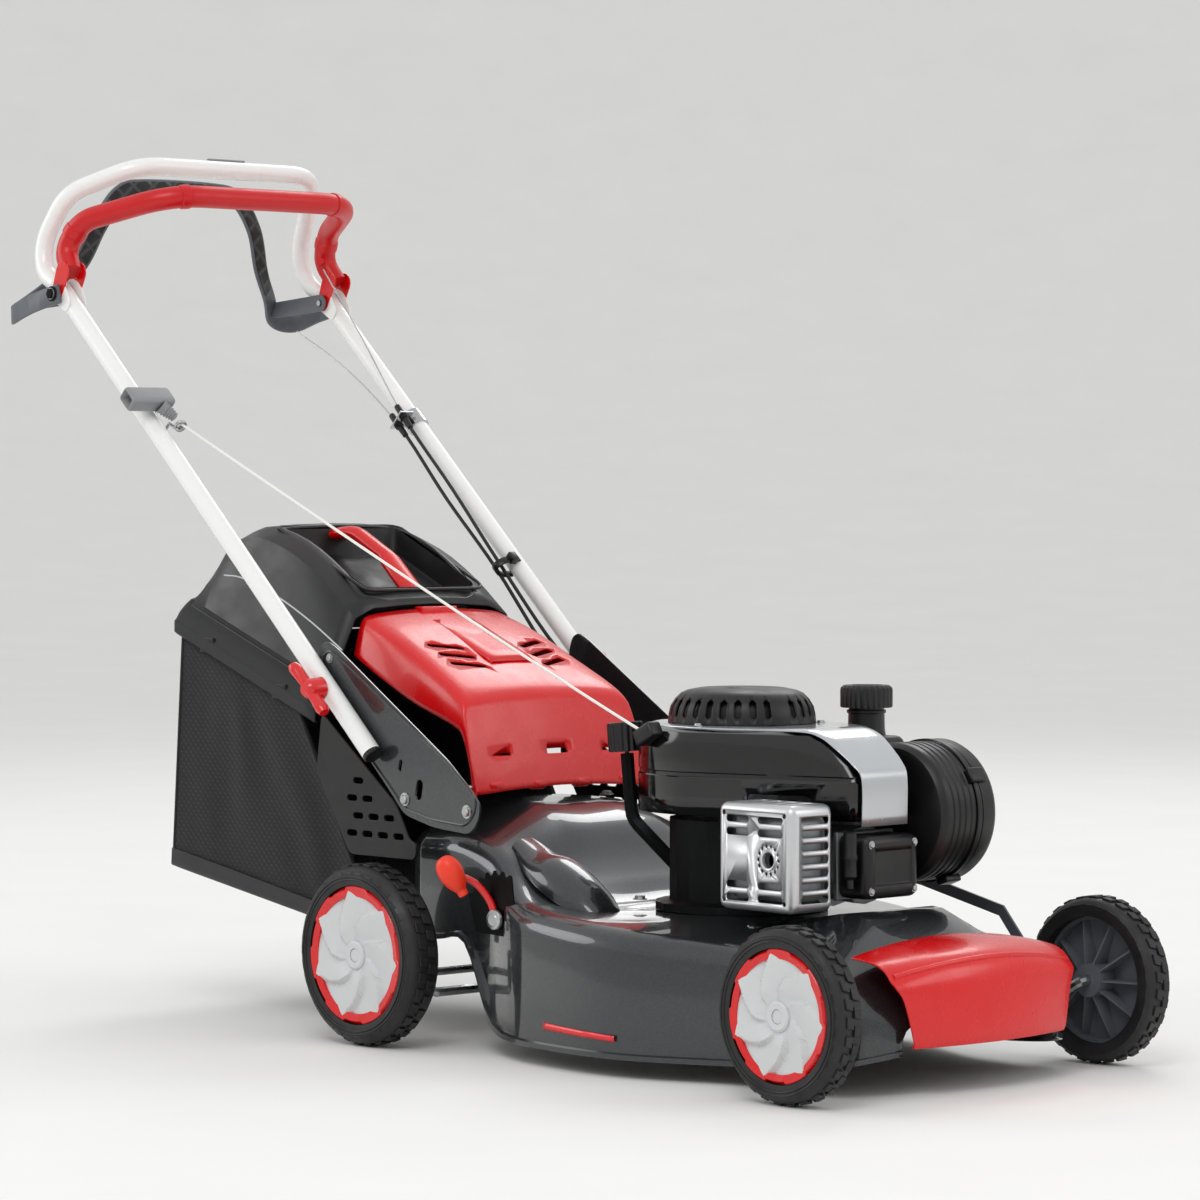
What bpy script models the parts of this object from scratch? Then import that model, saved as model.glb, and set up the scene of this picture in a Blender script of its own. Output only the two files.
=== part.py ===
"""Walk-behind rotary lawn mower with a steel deck, petrol engine and grass bag.

Metres, +Z up, +X the way it travels, +Y the operator's left.  The origin is
on the ground below the rear axle, on the plane of symmetry.
"""
import math

import bmesh
import bpy
from mathutils import Matrix, Vector

# --- driving dimensions ----------------------------------------------------
GAP = 0.0003                # between pieces that touch
RUN = 0.0010                # beside pieces that turn

WHEELBASE = 0.718
FRONT_RADIUS = 0.100        # front tyre
FRONT_WIDTH = 0.043
FRONT_OUTER = 0.2835        # outer face of the front tyre from the middle
REAR_RADIUS = 0.112
REAR_WIDTH = 0.0515
REAR_OUTER = 0.2954
RIM_SHARE = 0.80            # rim radius over tyre radius
AXLE_PIN_RADIUS = 0.006

CRANK_ARM = 0.048           # height adjuster, pivot to wheel axle
CRANK_REST = math.radians(30)
CRANK_BAR_RADIUS = 0.008
LINK_ARM = 0.040            # pivot to the link bar's pin

DECK_THICKNESS = 0.0025
ENGINE_X = 0.378            # crankshaft and blade axis
PLATFORM_Z = 0.178          # deck top below the engine
BLADE_RADIUS = 0.230
BLADE_Z = 0.050
BLADE_WIDTH = 0.050
BLADE_THICKNESS = 0.004
SHAFT_RADIUS = 0.0111

HANDLE_Y = 0.230            # middle of each handle leg
TUBE_RADIUS = 0.0125
TUBE_WALL = 0.0015
LEG_FOOT = (-0.040, 0.353)  # x, z of the open lower end
LEG_SLOPE = math.radians(42.65)
KNOB_RUN = 0.1185           # along the leg, foot to the fold knob
PIVOT_RUN = 0.8725          # along the leg, foot to the lever pivot
BRACKET_THICKNESS = 0.003
BRACKET_Y = HANDLE_Y - TUBE_RADIUS - RUN - BRACKET_THICKNESS / 2
GUARD_Y = BRACKET_Y - 0.0065
LEVER_CHEEK_Y = HANDLE_Y - TUBE_RADIUS - 0.0065
LEVER_BAND_Y = HANDLE_Y + TUBE_RADIUS + 0.0065
BAIL_EAR_OFFSET = TUBE_RADIUS + 0.0015
BAIL_RADIUS = TUBE_RADIUS + 0.0025
BAND_WIDTH = 0.026          # drive lever band

BAG_HALF_WIDTH = 0.190
FLAP_HINGE = (0.050, 0.314)
FLAP_HALF_WIDTH = 0.150
CABLE_Y = 0.2035
CABLE_RADIUS = 0.0025
WIRE_RADIUS = 0.0010
ROPE_RADIUS = 0.0018

BOLT_RADIUS = 0.004
DRIVE_SHAFT_RADIUS = 0.005
PINION_RADIUS = 0.011
CROSS_BAR_REACH = 0.040     # rear cross bar from the drive shaft
GEARBOX_RADIUS = 0.026
GEARBOX_PULLEY_RADIUS = 0.034
CRANK_PULLEY_RADIUS = 0.020
BELT_Z = 0.145
BELT_DEPTH = 0.0055
LINK_Y = 0.2203
LEVER_PIVOT = Vector((0.186, -0.2300, 0.165))
LEVER_KNOB = Vector((0.152, -0.268, 0.221))

CASE_RADIUS = 0.088
CASE_TOP = 0.288
CYLINDER_Z = 0.243
CYLINDER_BORE = 0.033
FLYWHEEL_Z = 0.305
NOSE_Y = -0.012             # the housing's nose lies a little to the right
FILTER_X, FILTER_Z = 0.576, 0.301
FILTER_RADIUS = 0.083
FILTER_INNER = 0.054        # inner end of the air filter drum
FUEL_NECK = (0.440, 0.152)
FILLER_ROUTE = (Vector((0.2395, -0.060, 0.361)), Vector((0.2450, -0.057, 0.282)),
                Vector((0.2960, -0.038, 0.232)))

BAG_REAR_TOP = (-0.478, 0.492)      # x, z of the fabric's corners
BAG_REAR_LOW = (-0.500, 0.186)
BAG_MOUTH_TOP = (-0.235, 0.402)
BAG_MOUTH_LOW = (-0.075, 0.118)
BAG_RIM_REAR = (-0.479, 0.503)
BAG_RIM_FALL = 0.37

LEG = Vector((-math.cos(LEG_SLOPE), 0, math.sin(LEG_SLOPE)))
LEG_FRONT = Vector((math.sin(LEG_SLOPE), 0, math.cos(LEG_SLOPE)))


def on_leg(run, y=0.0, out=0.0):
    """A point `run` along the handle leg and `out` in front of its middle."""
    foot = Vector((LEG_FOOT[0], y, LEG_FOOT[1]))
    return foot + LEG * run + LEG_FRONT * out


LEG_TURN = (0, LEG_SLOPE - math.pi / 2, 0)      # a local Z along the leg, local X in front of it
KNOB_AXIS = on_leg(KNOB_RUN)
PIVOT = on_leg(PIVOT_RUN)
REAR_AXLE = Vector((0, 0, REAR_RADIUS))
FRONT_AXLE = Vector((WHEELBASE, 0, FRONT_RADIUS))
CRANK_REACH = Vector((CRANK_ARM * math.cos(CRANK_REST), 0, CRANK_ARM * math.sin(CRANK_REST)))
REAR_PIVOT = Vector((CRANK_REACH.x, 0, REAR_RADIUS - CRANK_REACH.z))
FRONT_PIVOT = Vector((WHEELBASE - CRANK_REACH.x, 0, FRONT_RADIUS - CRANK_REACH.z))
SHAFT_AXIS = Vector((ENGINE_X, 0, 0))

# --- routes of the cables and the rope, chosen by hand -----------------------
CABLE_BRACKET_RUN = 0.623
CABLE_OUT = (0.010, -0.006)             # each cable in front of the leg's middle, in the fork
GRIP_RUN = 0.627
BAIL_LUG = Vector((-0.672, 0.2040, 1.003))
ROPE_TOP = on_leg(0.590, -0.2120, 0.024)
STARTER_ROPE_ROUTE = [ROPE_TOP, Vector((-0.250, -0.1905, 0.6700)), Vector((0.050, -0.1600, 0.5270)),
                      Vector((0.240, -0.1400, 0.4390)), Vector((0.350, -0.1285, 0.3900))]
BAIL_CABLE_ROUTE = [BAIL_LUG + Vector((0.006, 0, -0.012)), on_leg(0.760, CABLE_Y, 0.030),
                    on_leg(CABLE_BRACKET_RUN, CABLE_Y, CABLE_OUT[0]), on_leg(0.480, CABLE_Y, 0.006),
                    on_leg(0.340, CABLE_Y, -0.002), on_leg(0.180, CABLE_Y, -0.006),
                            Vector((-0.060, CABLE_Y, 0.395)),
                    Vector((0.080, CABLE_Y, 0.320)), Vector((0.190, 0.190, 0.275)),
                            Vector((0.260, 0.150, 0.262)),
                    Vector((0.290, 0.106, 0.262))]
DRIVE_CABLE_ROUTE = [Vector((-0.724, CABLE_Y, 0.905)), on_leg(0.760, CABLE_Y, -0.024),
                     on_leg(CABLE_BRACKET_RUN, CABLE_Y, CABLE_OUT[1]), on_leg(0.480, CABLE_Y, -0.012),
                     on_leg(0.340, CABLE_Y, -0.012), on_leg(0.180, CABLE_Y, -0.022),
                             Vector((-0.075, CABLE_Y, 0.375)),
                     Vector((-0.034, CABLE_Y, 0.285)), Vector((-0.028, 0.198, 0.190)),
                             Vector((-0.020, 0.150, 0.110)),
                     Vector((0.012, 0.075, 0.088))]


# --- scene and material helpers --------------------------------------------
def clear_scene():
    for obj in list(bpy.data.objects):
        bpy.data.objects.remove(obj, do_unlink=True)


def collection(name):
    made = bpy.data.collections.new(name)
    bpy.context.scene.collection.children.link(made)
    return made


clear_scene()
PARTS = collection("push_mower")
CUTTERS = collection("cutters")


def material(name, rgb, metallic, roughness):
    made = bpy.data.materials.new(name)
    made.use_nodes = True
    shader = made.node_tree.nodes["Principled BSDF"]
    shader.inputs["Base Color"].default_value = (*rgb, 1)
    shader.inputs["Metallic"].default_value = metallic
    shader.inputs["Roughness"].default_value = roughness
    return made


DARK_METALLIC = material("dark_metallic_paint", (0.05, 0.05, 0.055), 0.7, 0.3)
RED_PLASTIC = material("red_plastic", (0.75, 0.01, 0.01), 0.0, 0.3)
WHITE_PAINT = material("white_paint", (0.8, 0.8, 0.8), 0.0, 0.35)
BLACK_PLASTIC = material("black_plastic", (0.02, 0.02, 0.02), 0.0, 0.35)
GREY_PLASTIC = material("grey_plastic", (0.12, 0.12, 0.13), 0.0, 0.5)
SILVER = material("silver_plastic", (0.6, 0.6, 0.62), 0.6, 0.3)
STEEL = material("steel", (0.5, 0.5, 0.5), 1.0, 0.35)
CASTING = material("aluminium_casting", (0.35, 0.35, 0.36), 1.0, 0.5)
RUBBER = material("tyre_rubber", (0.02, 0.02, 0.02), 0.0, 0.8)
COVER_GREY = material("wheel_grey", (0.7, 0.71, 0.7), 0.0, 0.4)
FABRIC = material("bag_fabric", (0.03, 0.03, 0.03), 0.0, 0.9)
ROPE = material("rope_white", (0.8, 0.8, 0.76), 0.0, 0.8)


def pivot(name, place):
    """An empty on a joint's axis."""
    empty = bpy.data.objects.new(name, None)
    empty.empty_display_size = 0.03
    empty.location = place
    PARTS.objects.link(empty)
    return empty


def hang(obj, empty):
    """Parent obj to an empty without moving it."""
    if empty is not None:
        obj.parent = empty
        obj.matrix_parent_inverse = Matrix.Translation(empty.location).inverted()
    return obj


def finish(obj, surface, empty=None):
    obj.data.materials.append(surface)
    hang(obj, empty)
    return obj


# --- shape helpers -----------------------------------------------------------
AXIS_TURN = {"Z": (0, 0, 0), "Y": (-math.pi / 2, 0, 0), "X": (0, math.pi / 2, 0)}


def turned(name, profile, place, axis="Z", steps=24, closed=False):
    """A turned solid; profile is (radius, height) down its outer side."""
    mesh = bpy.data.meshes.new(name)
    points = [(radius, 0, height) for radius, height in profile]
    edges = [(i, i + 1) for i in range(len(points) - 1)]
    if closed:
        edges.append((len(points) - 1, 0))
    mesh.from_pydata(points, edges, [])
    obj = bpy.data.objects.new(name, mesh)
    obj.location = place
    obj.rotation_euler = AXIS_TURN[axis]
    PARTS.objects.link(obj)
    screw = obj.modifiers.new("turn", "SCREW")
    screw.steps = steps
    screw.render_steps = steps
    screw.use_merge_vertices = True
    screw.merge_threshold = 1e-5
    return obj


def rod(name, radius, low, high, place, axis="Z", steps=16):
    """A plain round bar from low to high along its axis."""
    return turned(name, [(0, high), (radius, high), (radius, low), (0, low)], place, axis, steps)


def ring(name, outer, inner, low, high, place, axis="Z", steps=24):
    profile = [(outer, high), (outer, low), (inner, low), (inner, high)]
    return turned(name, profile, place, axis, steps, closed=True)


def box(name, low, high, bevel=0.0):
    """A box between two corners, with rounded edges if asked."""
    low, high = Vector(low), Vector(high)
    bm = bmesh.new()
    bmesh.ops.create_cube(bm, size=1)
    bmesh.ops.scale(bm, vec=high - low, verts=bm.verts)
    mesh = bpy.data.meshes.new(name)
    bm.to_mesh(mesh)
    bm.free()
    obj = bpy.data.objects.new(name, mesh)
    obj.location = (low + high) / 2
    PARTS.objects.link(obj)
    if bevel:
        round_edges = obj.modifiers.new("round", "BEVEL")
        round_edges.width = bevel
        round_edges.segments = 2
    return obj


def curve_object(name, splines, cyclic, dimensions="3D"):
    """A curve of POLY splines; a point may carry its own radius as a fourth value."""
    data = bpy.data.curves.new(name, "CURVE")
    data.dimensions = dimensions
    for points in splines:
        spline = data.splines.new("POLY")
        spline.points.add(len(points) - 1)
        for slot, point in zip(spline.points, points):
            slot.co = (point[0], point[1], point[2], 1)
            slot.radius = point[3] if len(point) > 3 else 1.0
        spline.use_cyclic_u = cyclic
    obj = bpy.data.objects.new(name, data)
    PARTS.objects.link(obj)
    return obj


def tube(name, points, radius, sides=8):
    """A round bar along a route, with closed ends; sides is an even number from 6."""
    obj = curve_object(name, [points], False)
    obj.data.bevel_depth = radius
    obj.data.bevel_resolution = (sides - 4) // 2
    obj.data.use_fill_caps = True
    obj.data.twist_mode = "MINIMUM"
    return obj


def plate(name, outlines, thickness, place, turn):
    """A flat plate from closed outlines; the second and later ones are holes."""
    flat = [[(x, y, 0) for x, y in outline] for outline in outlines]
    obj = curve_object(name, flat, True, "2D")
    obj.data.fill_mode = "BOTH"
    obj.data.extrude = thickness / 2
    obj.location = place
    obj.rotation_euler = turn
    return obj


UPRIGHT = (math.pi / 2, 0, 0)       # a plate's x, y become the world's X, Z


def upright_plate(name, outlines, thickness, y):
    return plate(name, outlines, thickness, (0, y, 0), UPRIGHT)


def as_mesh(obj):
    """The same object as a mesh, with its loose caps welded."""
    bpy.context.view_layer.update()
    graph = bpy.context.evaluated_depsgraph_get()
    mesh = bpy.data.meshes.new_from_object(obj.evaluated_get(graph))
    bm = bmesh.new()
    bm.from_mesh(mesh)
    bmesh.ops.remove_doubles(bm, verts=bm.verts, dist=1e-6)
    bmesh.ops.recalc_face_normals(bm, faces=bm.faces)
    bm.to_mesh(mesh)
    bm.free()
    made = bpy.data.objects.new(obj.name + "_solid", mesh)
    made.matrix_world = obj.matrix_world.copy()
    PARTS.objects.link(made)
    name = obj.name
    bpy.data.objects.remove(obj, do_unlink=True)
    made.name = name
    return made


def boolean(obj, tool, operation):
    step = obj.modifiers.new(operation.lower(), "BOOLEAN")
    step.operation = operation
    step.object = tool
    step.solver = "EXACT"
    PARTS.objects.unlink(tool)
    CUTTERS.objects.link(tool)
    tool.name = "cutter_" + tool.name
    tool.hide_render = True
    tool.display_type = "WIRE"
    return obj


def cut(obj, tool):
    return boolean(obj, tool, "DIFFERENCE")


def join(obj, tool):
    return boolean(obj, tool, "UNION")


def loft(name, sections, thickness=0.0, offset=-1.0, loop=False, first=False, last=False):
    """A surface through like sections, each a loop if asked, with either end closed, made a shell."""
    bm = bmesh.new()
    rows = [[bm.verts.new(point) for point in section] for section in sections]
    for row, after in zip(rows, rows[1:]):
        for i in range(len(row) - 1):
            bm.faces.new((row[i], row[i + 1], after[i + 1], after[i]))
        if loop:
            bm.faces.new((row[-1], row[0], after[0], after[-1]))
    if first:
        bm.faces.new(rows[0])
    if last:
        bm.faces.new(rows[-1])
    bmesh.ops.recalc_face_normals(bm, faces=bm.faces)
    mesh = bpy.data.meshes.new(name)
    bm.to_mesh(mesh)
    bm.free()
    obj = bpy.data.objects.new(name, mesh)
    PARTS.objects.link(obj)
    if thickness:
        shell = obj.modifiers.new("wall", "SOLIDIFY")
        shell.thickness = thickness
        shell.offset = offset
        shell.use_even_offset = False
    return obj


def arc(centre, radius, start, end, count):
    """Points on an arc, in degrees."""
    angles = [math.radians(start + (end - start) * i / (count - 1)) for i in range(count)]
    return [(centre[0] + radius * math.cos(a), centre[1] + radius * math.sin(a)) for a in angles]


def slot_outline(x, z, length, width, lean=0.0):
    """A straight slot with square ends, its long side along x when lean is 0."""
    c, s = math.cos(lean), math.sin(lean)
    corners = [(-length, -width), (length, -width), (length, width), (-length, width)]
    return [(x + (a * c - b * s) / 2, z + (a * s + b * c) / 2) for a, b in corners]


def circle_outline(x, z, radius, count=12):
    return [(x + radius * math.cos(math.tau * i / count), z + radius * math.sin(math.tau * i / count))
            for i in range(count)]


def bent(points, radius, count=4):
    """Round each inner corner of a route with an arc of up to `radius`."""
    points = [Vector(p) for p in points]
    route = [points[0]]
    for before, corner, after in zip(points, points[1:], points[2:]):
        a, b = (before - corner), (after - corner)
        half = a.angle(b) / 2
        reach = min(radius / math.tan(half), 0.48 * a.length, 0.48 * b.length)
        start, end = corner + a.normalized() * reach, corner + b.normalized() * reach
        for i in range(count + 1):
            t = i / count
            route.append(start * (1 - t) ** 2 + corner * (2 * t * (1 - t)) + end * t ** 2)
    route.append(points[-1])
    return route


def flowing(points, per_span=5):
    """Points read from one smooth curve through a cord's own points."""
    points = [Vector(p) for p in points]
    padded = [points[0] * 2 - points[1]] + points + [points[-1] * 2 - points[-2]]
    route = []
    for p0, p1, p2, p3 in zip(padded, padded[1:], padded[2:], padded[3:]):
        for i in range(per_span):
            t = i / per_span
            route.append(0.5 * ((2 * p1) + (p2 - p0) * t + (2 * p0 - 5 * p1 + 4 * p2 - p3) * t ** 2
                                + (3 * p1 - p0 - 3 * p2 + p3) * t ** 3))
    route.append(points[-1])
    return route


def mirrored(points):
    """A half route on the +Y side, continued to its mirror image."""
    half = [Vector(p) for p in points]
    return half + [Vector((p.x, -p.y, p.z)) for p in reversed(half)]


def strap(name, points, width, thickness, faces):
    """A flat bar along a route; faces is the direction that its broad side faces, one or one a point."""
    if isinstance(faces, Vector):
        faces = [faces] * len(points)
    sections = []
    for i, (point, face) in enumerate(zip(points, faces)):
        along = (points[min(i + 1, len(points) - 1)] - points[max(i - 1, 0)]).normalized()
        across = along.cross(face).normalized() * (width / 2)
        normal = across.cross(along).normalized() * (thickness / 2)
        sections.append([point - across - normal, point + across - normal, point + across + normal,
                         point - across + normal])
    return loft(name, sections, loop=True, first=True, last=True)


def sphere(name, radius, place, stretch):
    bm = bmesh.new()
    bmesh.ops.create_uvsphere(bm, u_segments=12, v_segments=8, radius=radius)
    bmesh.ops.scale(bm, vec=stretch, verts=bm.verts)
    mesh = bpy.data.meshes.new(name)
    bm.to_mesh(mesh)
    bm.free()
    obj = bpy.data.objects.new(name, mesh)
    obj.location = place
    PARTS.objects.link(obj)
    return obj


# --- deck and body ----------------------------------------------------------
# x, half width, crown height, side height, skirt height, from the discharge mouth to the nose
DECK_STATIONS = (
    (-0.020, 0.178, 0.292, 0.262, 0.128), (0.040, 0.186, 0.292, 0.262, 0.128),
    (0.095, 0.192, 0.289, 0.257, 0.128), (0.145, 0.200, 0.270, 0.240, 0.044),
    (0.183, 0.217, 0.232, 0.212, 0.026), (0.225, 0.235, 0.200, 0.191, 0.023),
    (0.268, 0.247, PLATFORM_Z, 0.183, 0.022), (0.375, 0.256, PLATFORM_Z, 0.174, 0.022),
    (0.450, 0.245, PLATFORM_Z, 0.168, 0.022), (0.490, 0.228, PLATFORM_Z, 0.1645, 0.022),
    (0.520, 0.215, PLATFORM_Z, 0.162, 0.022),
    (0.575, 0.195, 0.186, 0.158, 0.023), (0.640, 0.190, 0.192, 0.152, 0.025),
    (0.700, 0.186, 0.158, 0.136, 0.030), (0.740, 0.165, 0.124, 0.108, 0.038),
    (0.764, 0.128, 0.086, 0.080, 0.046),
)


def deck_section(x, half, crown, side, skirt):
    """Half outline of the deck from the skirt up and in to the middle."""
    corner = min(0.030, (side - skirt) * 0.6)
    points = [(half + 0.002, skirt), (half + 0.001, skirt + 0.3 * (side - skirt - corner)),
              (half, side - corner)]
    points += arc((half - corner, side - corner), corner, 18, 90, 3)
    inner = half - corner
    points += [(inner * 0.72, side + (crown - side) * 0.45), (inner * 0.45, crown), (0.0, crown)]
    left = [Vector((x, y, z)) for y, z in points]
    return left + [Vector((p.x, -p.y, p.z)) for p in reversed(left[:-1])]


def make_deck():
    shell = loft("deck_shell", [deck_section(*row) for row in DECK_STATIONS], DECK_THICKNESS)
    bore = rod("deck_shaft_hole", SHAFT_RADIUS + 0.010, 0.10, 0.25, SHAFT_AXIS)
    bore.rotation_euler = (0, 0, 0.1)
    cut(shell, bore)
    cut(shell, rod("deck_crank_hole", CRANK_BAR_RADIUS + RUN, -0.3, 0.3, FRONT_PIVOT, "Y"))
    finish(shell, DARK_METALLIC)

    # Bumper: a moulded cover over the nose, open below and behind
    rows = []
    for y in (-1, -0.93, -0.5, 0, 0.5, 0.93, 1):
        wide, low = 0.152 * y, 0.128 * y
        sag = 0.016 * y * y
        rows.append([(0.706, wide, 0.1685 - sag), (0.745, wide, 0.1640 - sag),
                     (0.783 - sag, wide, 0.1500 - sag),
                     (0.793 - sag, (wide + low) / 2, 0.110), (0.797 - sag, low, 0.060)])
    bumper = loft("bumper_cover", [[Vector(p) for p in row] for row in rows], 0.0022, offset=1.0)
    finish(bumper, RED_PLASTIC)


# Outline of the stamped plate that carries each handle leg (x, z)
BRACKET_OUTLINE = [(-0.158, 0.486), (-0.146, 0.492), (-0.128, 0.484), (0.085, 0.352), (0.128, 0.318),
                   (0.146, 0.300), (0.142, 0.280), (0.126, 0.263), (0.060, 0.268), (0.004, 0.281),
                   (-0.025, 0.310), (-0.070, 0.352), (-0.140, 0.414),
                   (-0.160, 0.438), (-0.166, 0.462)]
GUARD_OUTLINE = [(-0.165, 0.400), (-0.020, 0.292), (0.005, 0.250), (0.018, 0.246), (0.018, 0.225),
                 (-0.110, 0.225), (-0.175, 0.330)]


def make_brackets():
    bolt_hole = circle_outline(KNOB_AXIS.x, KNOB_AXIS.z, 0.0048)
    for side, sign in (("right", -1), ("left", 1)):
        holes = [bolt_hole, slot_outline(-0.004, 0.341, 0.016, 0.006, math.radians(75)),
                 slot_outline(0.032, 0.313, 0.026, 0.012, math.radians(80))]
        bracket = upright_plate("handle_bracket_" + side, [BRACKET_OUTLINE] + holes, BRACKET_THICKNESS,
                                sign * BRACKET_Y)
        finish(bracket, DARK_METALLIC)
        vents = [slot_outline(-0.105 + 0.030 * i + 0.012 * (k % 2), 0.252 + 0.022 * k, 0.020, 0.008)
                 for k in range(4) for i in range(4 - k)]
        guard = upright_plate("side_guard_" + side, [GUARD_OUTLINE] + vents, 0.003, sign * GUARD_Y)
        finish(guard, BLACK_PLASTIC)


def make_flap():
    """Rear deflector: front wall, crest and roof in one moulding, hinged low at the front."""
    hinge = pivot("rear_flap_axis", (FLAP_HINGE[0], 0, FLAP_HINGE[1]))
    path = [(0.058, 0.305, 0.97, 0.0), (0.050, 0.340, 0.97, 0.002), (0.034, 0.398, 0.95, 0.008),
            (0.016, 0.428, 0.93, 0.020), (-0.060, 0.468, 0.90, 0.034), (-0.130, 0.500, 0.88, 0.036),
            (-0.190, 0.522, 0.84, 0.032)]
    sections = []
    for x, z, share, drop in path:
        half = FLAP_HALF_WIDTH * share
        outline = [(half + 0.3 * drop, z - drop - 0.02), (half + 0.15 * drop, z - drop),
                   (half - 0.004, z - 0.25 * drop),
                   (half * 0.6, z + 0.003), (0, z + 0.006)]
        left = [Vector((x - (0.012 if i == 0 and drop == 0 else 0), y, height))
                for i, (y, height) in enumerate(outline)]
        sections.append(left + [Vector((p.x, -p.y, p.z)) for p in reversed(left[:-1])])
    flap = loft("rear_flap", sections, 0.0028)
    cut(flap, rod("flap_pin_hole", 0.0035, -0.2, 0.2, (FLAP_HINGE[0], 0, FLAP_HINGE[1]), "Y", 10))
    finish(flap, RED_PLASTIC, hinge)
    reach = BRACKET_Y - BRACKET_THICKNESS / 2 - GAP
    pin = rod("flap_hinge_rod", 0.003, -reach, reach, (FLAP_HINGE[0], 0, FLAP_HINGE[1]), "Y", 10)
    finish(pin, STEEL)


# --- wheels and height adjustment -------------------------------------------
def make_wheel(name, axle, radius, width, outer, sign):
    """Tyre with tread lugs on a moulded wheel; the wheel's outer face points along sign * Y."""
    axis = pivot(name + "_axis", axle)
    middle = axle + Vector((0, sign * (outer - width / 2), 0))
    rim = radius * RIM_SHARE
    half = width / 2
    crown = [(rim - 0.004, half * 0.92), (radius - 0.012, half), (radius - 0.002, half * 0.72),
             (radius, half * 0.30), (radius, -half * 0.30), (radius - 0.002, -half * 0.72),
             (radius - 0.012, -half), (rim - 0.004, -half * 0.92)]
    tyre = turned("tyre_" + name, crown, middle, "Y", 24, closed=True)
    finish(tyre, RUBBER, axis)
    bore = AXLE_PIN_RADIUS + 0.0001
    seat = rim - 0.004 - GAP
    face = half * 0.80 * sign
    back = -half * sign
    web = [(bore, face), (seat, face), (seat, face - sign * 0.022), (seat - 0.004, face - sign * 0.022),
           (seat - 0.004, face - sign * 0.005), (0.020, face - sign * 0.005), (0.020, back), (bore, back)]
    if sign < 0:
        web = list(reversed(web))
    wheel = turned("wheel_" + name, web, middle, "Y", 24, closed=True)
    finish(wheel, COVER_GREY, axis)


def make_wheels():
    for side, sign in (("right", -1), ("left", 1)):
        make_wheel("front_" + side, FRONT_AXLE, FRONT_RADIUS, FRONT_WIDTH, FRONT_OUTER, sign)
        make_wheel("rear_" + side, REAR_AXLE, REAR_RADIUS, REAR_WIDTH, REAR_OUTER, sign)


def make_height_adjuster():
    """Two cranked cross bars whose stub axles carry the wheels, the bar that links them, and the lever."""
    front = pivot("front_height_axis", FRONT_PIVOT)
    inner = Vector((0, FRONT_OUTER - FRONT_WIDTH - 0.012, 0))
    tip = Vector((0, FRONT_OUTER - 0.010, 0))
    half = [FRONT_AXLE + tip, FRONT_AXLE + inner, FRONT_PIVOT + inner, FRONT_PIVOT]
    bar = tube("front_height_crank", bent(mirrored(half[:3]), 0.006, 2), AXLE_PIN_RADIUS, 8)
    finish(bar, STEEL, front)

    # The rear bar swings round the drive shaft, so its cross bar lies ahead of that shaft
    rear = pivot("rear_height_axis", REAR_PIVOT)
    along = (REAR_PIVOT - REAR_AXLE).normalized()
    beside = Vector((-along.z, 0, along.x)) * (AXLE_PIN_RADIUS + PINION_RADIUS + 2 * RUN)
    inner = Vector((0, REAR_OUTER - REAR_WIDTH - 0.012, 0))
    tip = Vector((0, REAR_OUTER - 0.012, 0))
    half = [REAR_AXLE + tip, REAR_AXLE + inner, REAR_PIVOT + beside + inner,
            REAR_PIVOT + along * CROSS_BAR_REACH + inner]
    bar = tube("rear_height_crank", bent(mirrored(half), 0.006, 2), AXLE_PIN_RADIUS, 8)
    finish(bar, STEEL, rear)

    # Link bar on the left: from below the rear pivot to above the front pivot
    swing = Vector((-LINK_ARM * math.sin(CRANK_REST), 0, LINK_ARM * math.cos(CRANK_REST)))
    front_pin = FRONT_PIVOT + swing
    rear_pin = REAR_PIVOT + Vector((swing.x, 0, -swing.z))
    route = [(rear_pin.x, rear_pin.z), (0.108, REAR_PIVOT.z - 0.036), (0.116, 0.226), (0.300, 0.226), (0.470, 0.205),
             (0.600, 0.176), (front_pin.x, front_pin.z)]
    link = strap("height_link_bar", [Vector((x, LINK_Y, z)) for x, z in route], 0.014, 0.003,
                 Vector((0, 1, 0)))
    finish(link, GREY_PLASTIC)

    lever_axis = pivot("height_lever_axis", LEVER_PIVOT)
    arm = [LEVER_PIVOT + Vector((0, 0.0035, 0)), LEVER_PIVOT + Vector((-0.010, 0.0025, 0.022)),
           LEVER_PIVOT + Vector((-0.024, -0.010, 0.044)), LEVER_KNOB]
    lever = as_mesh(tube("height_lever", flowing(arm, 3), 0.0045, 8))
    ball = sphere("height_lever_ball", 0.020, LEVER_KNOB, (0.80, 0.75, 1.15))
    join(lever, ball)
    finish(lever, RED_PLASTIC, lever_axis)


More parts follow.
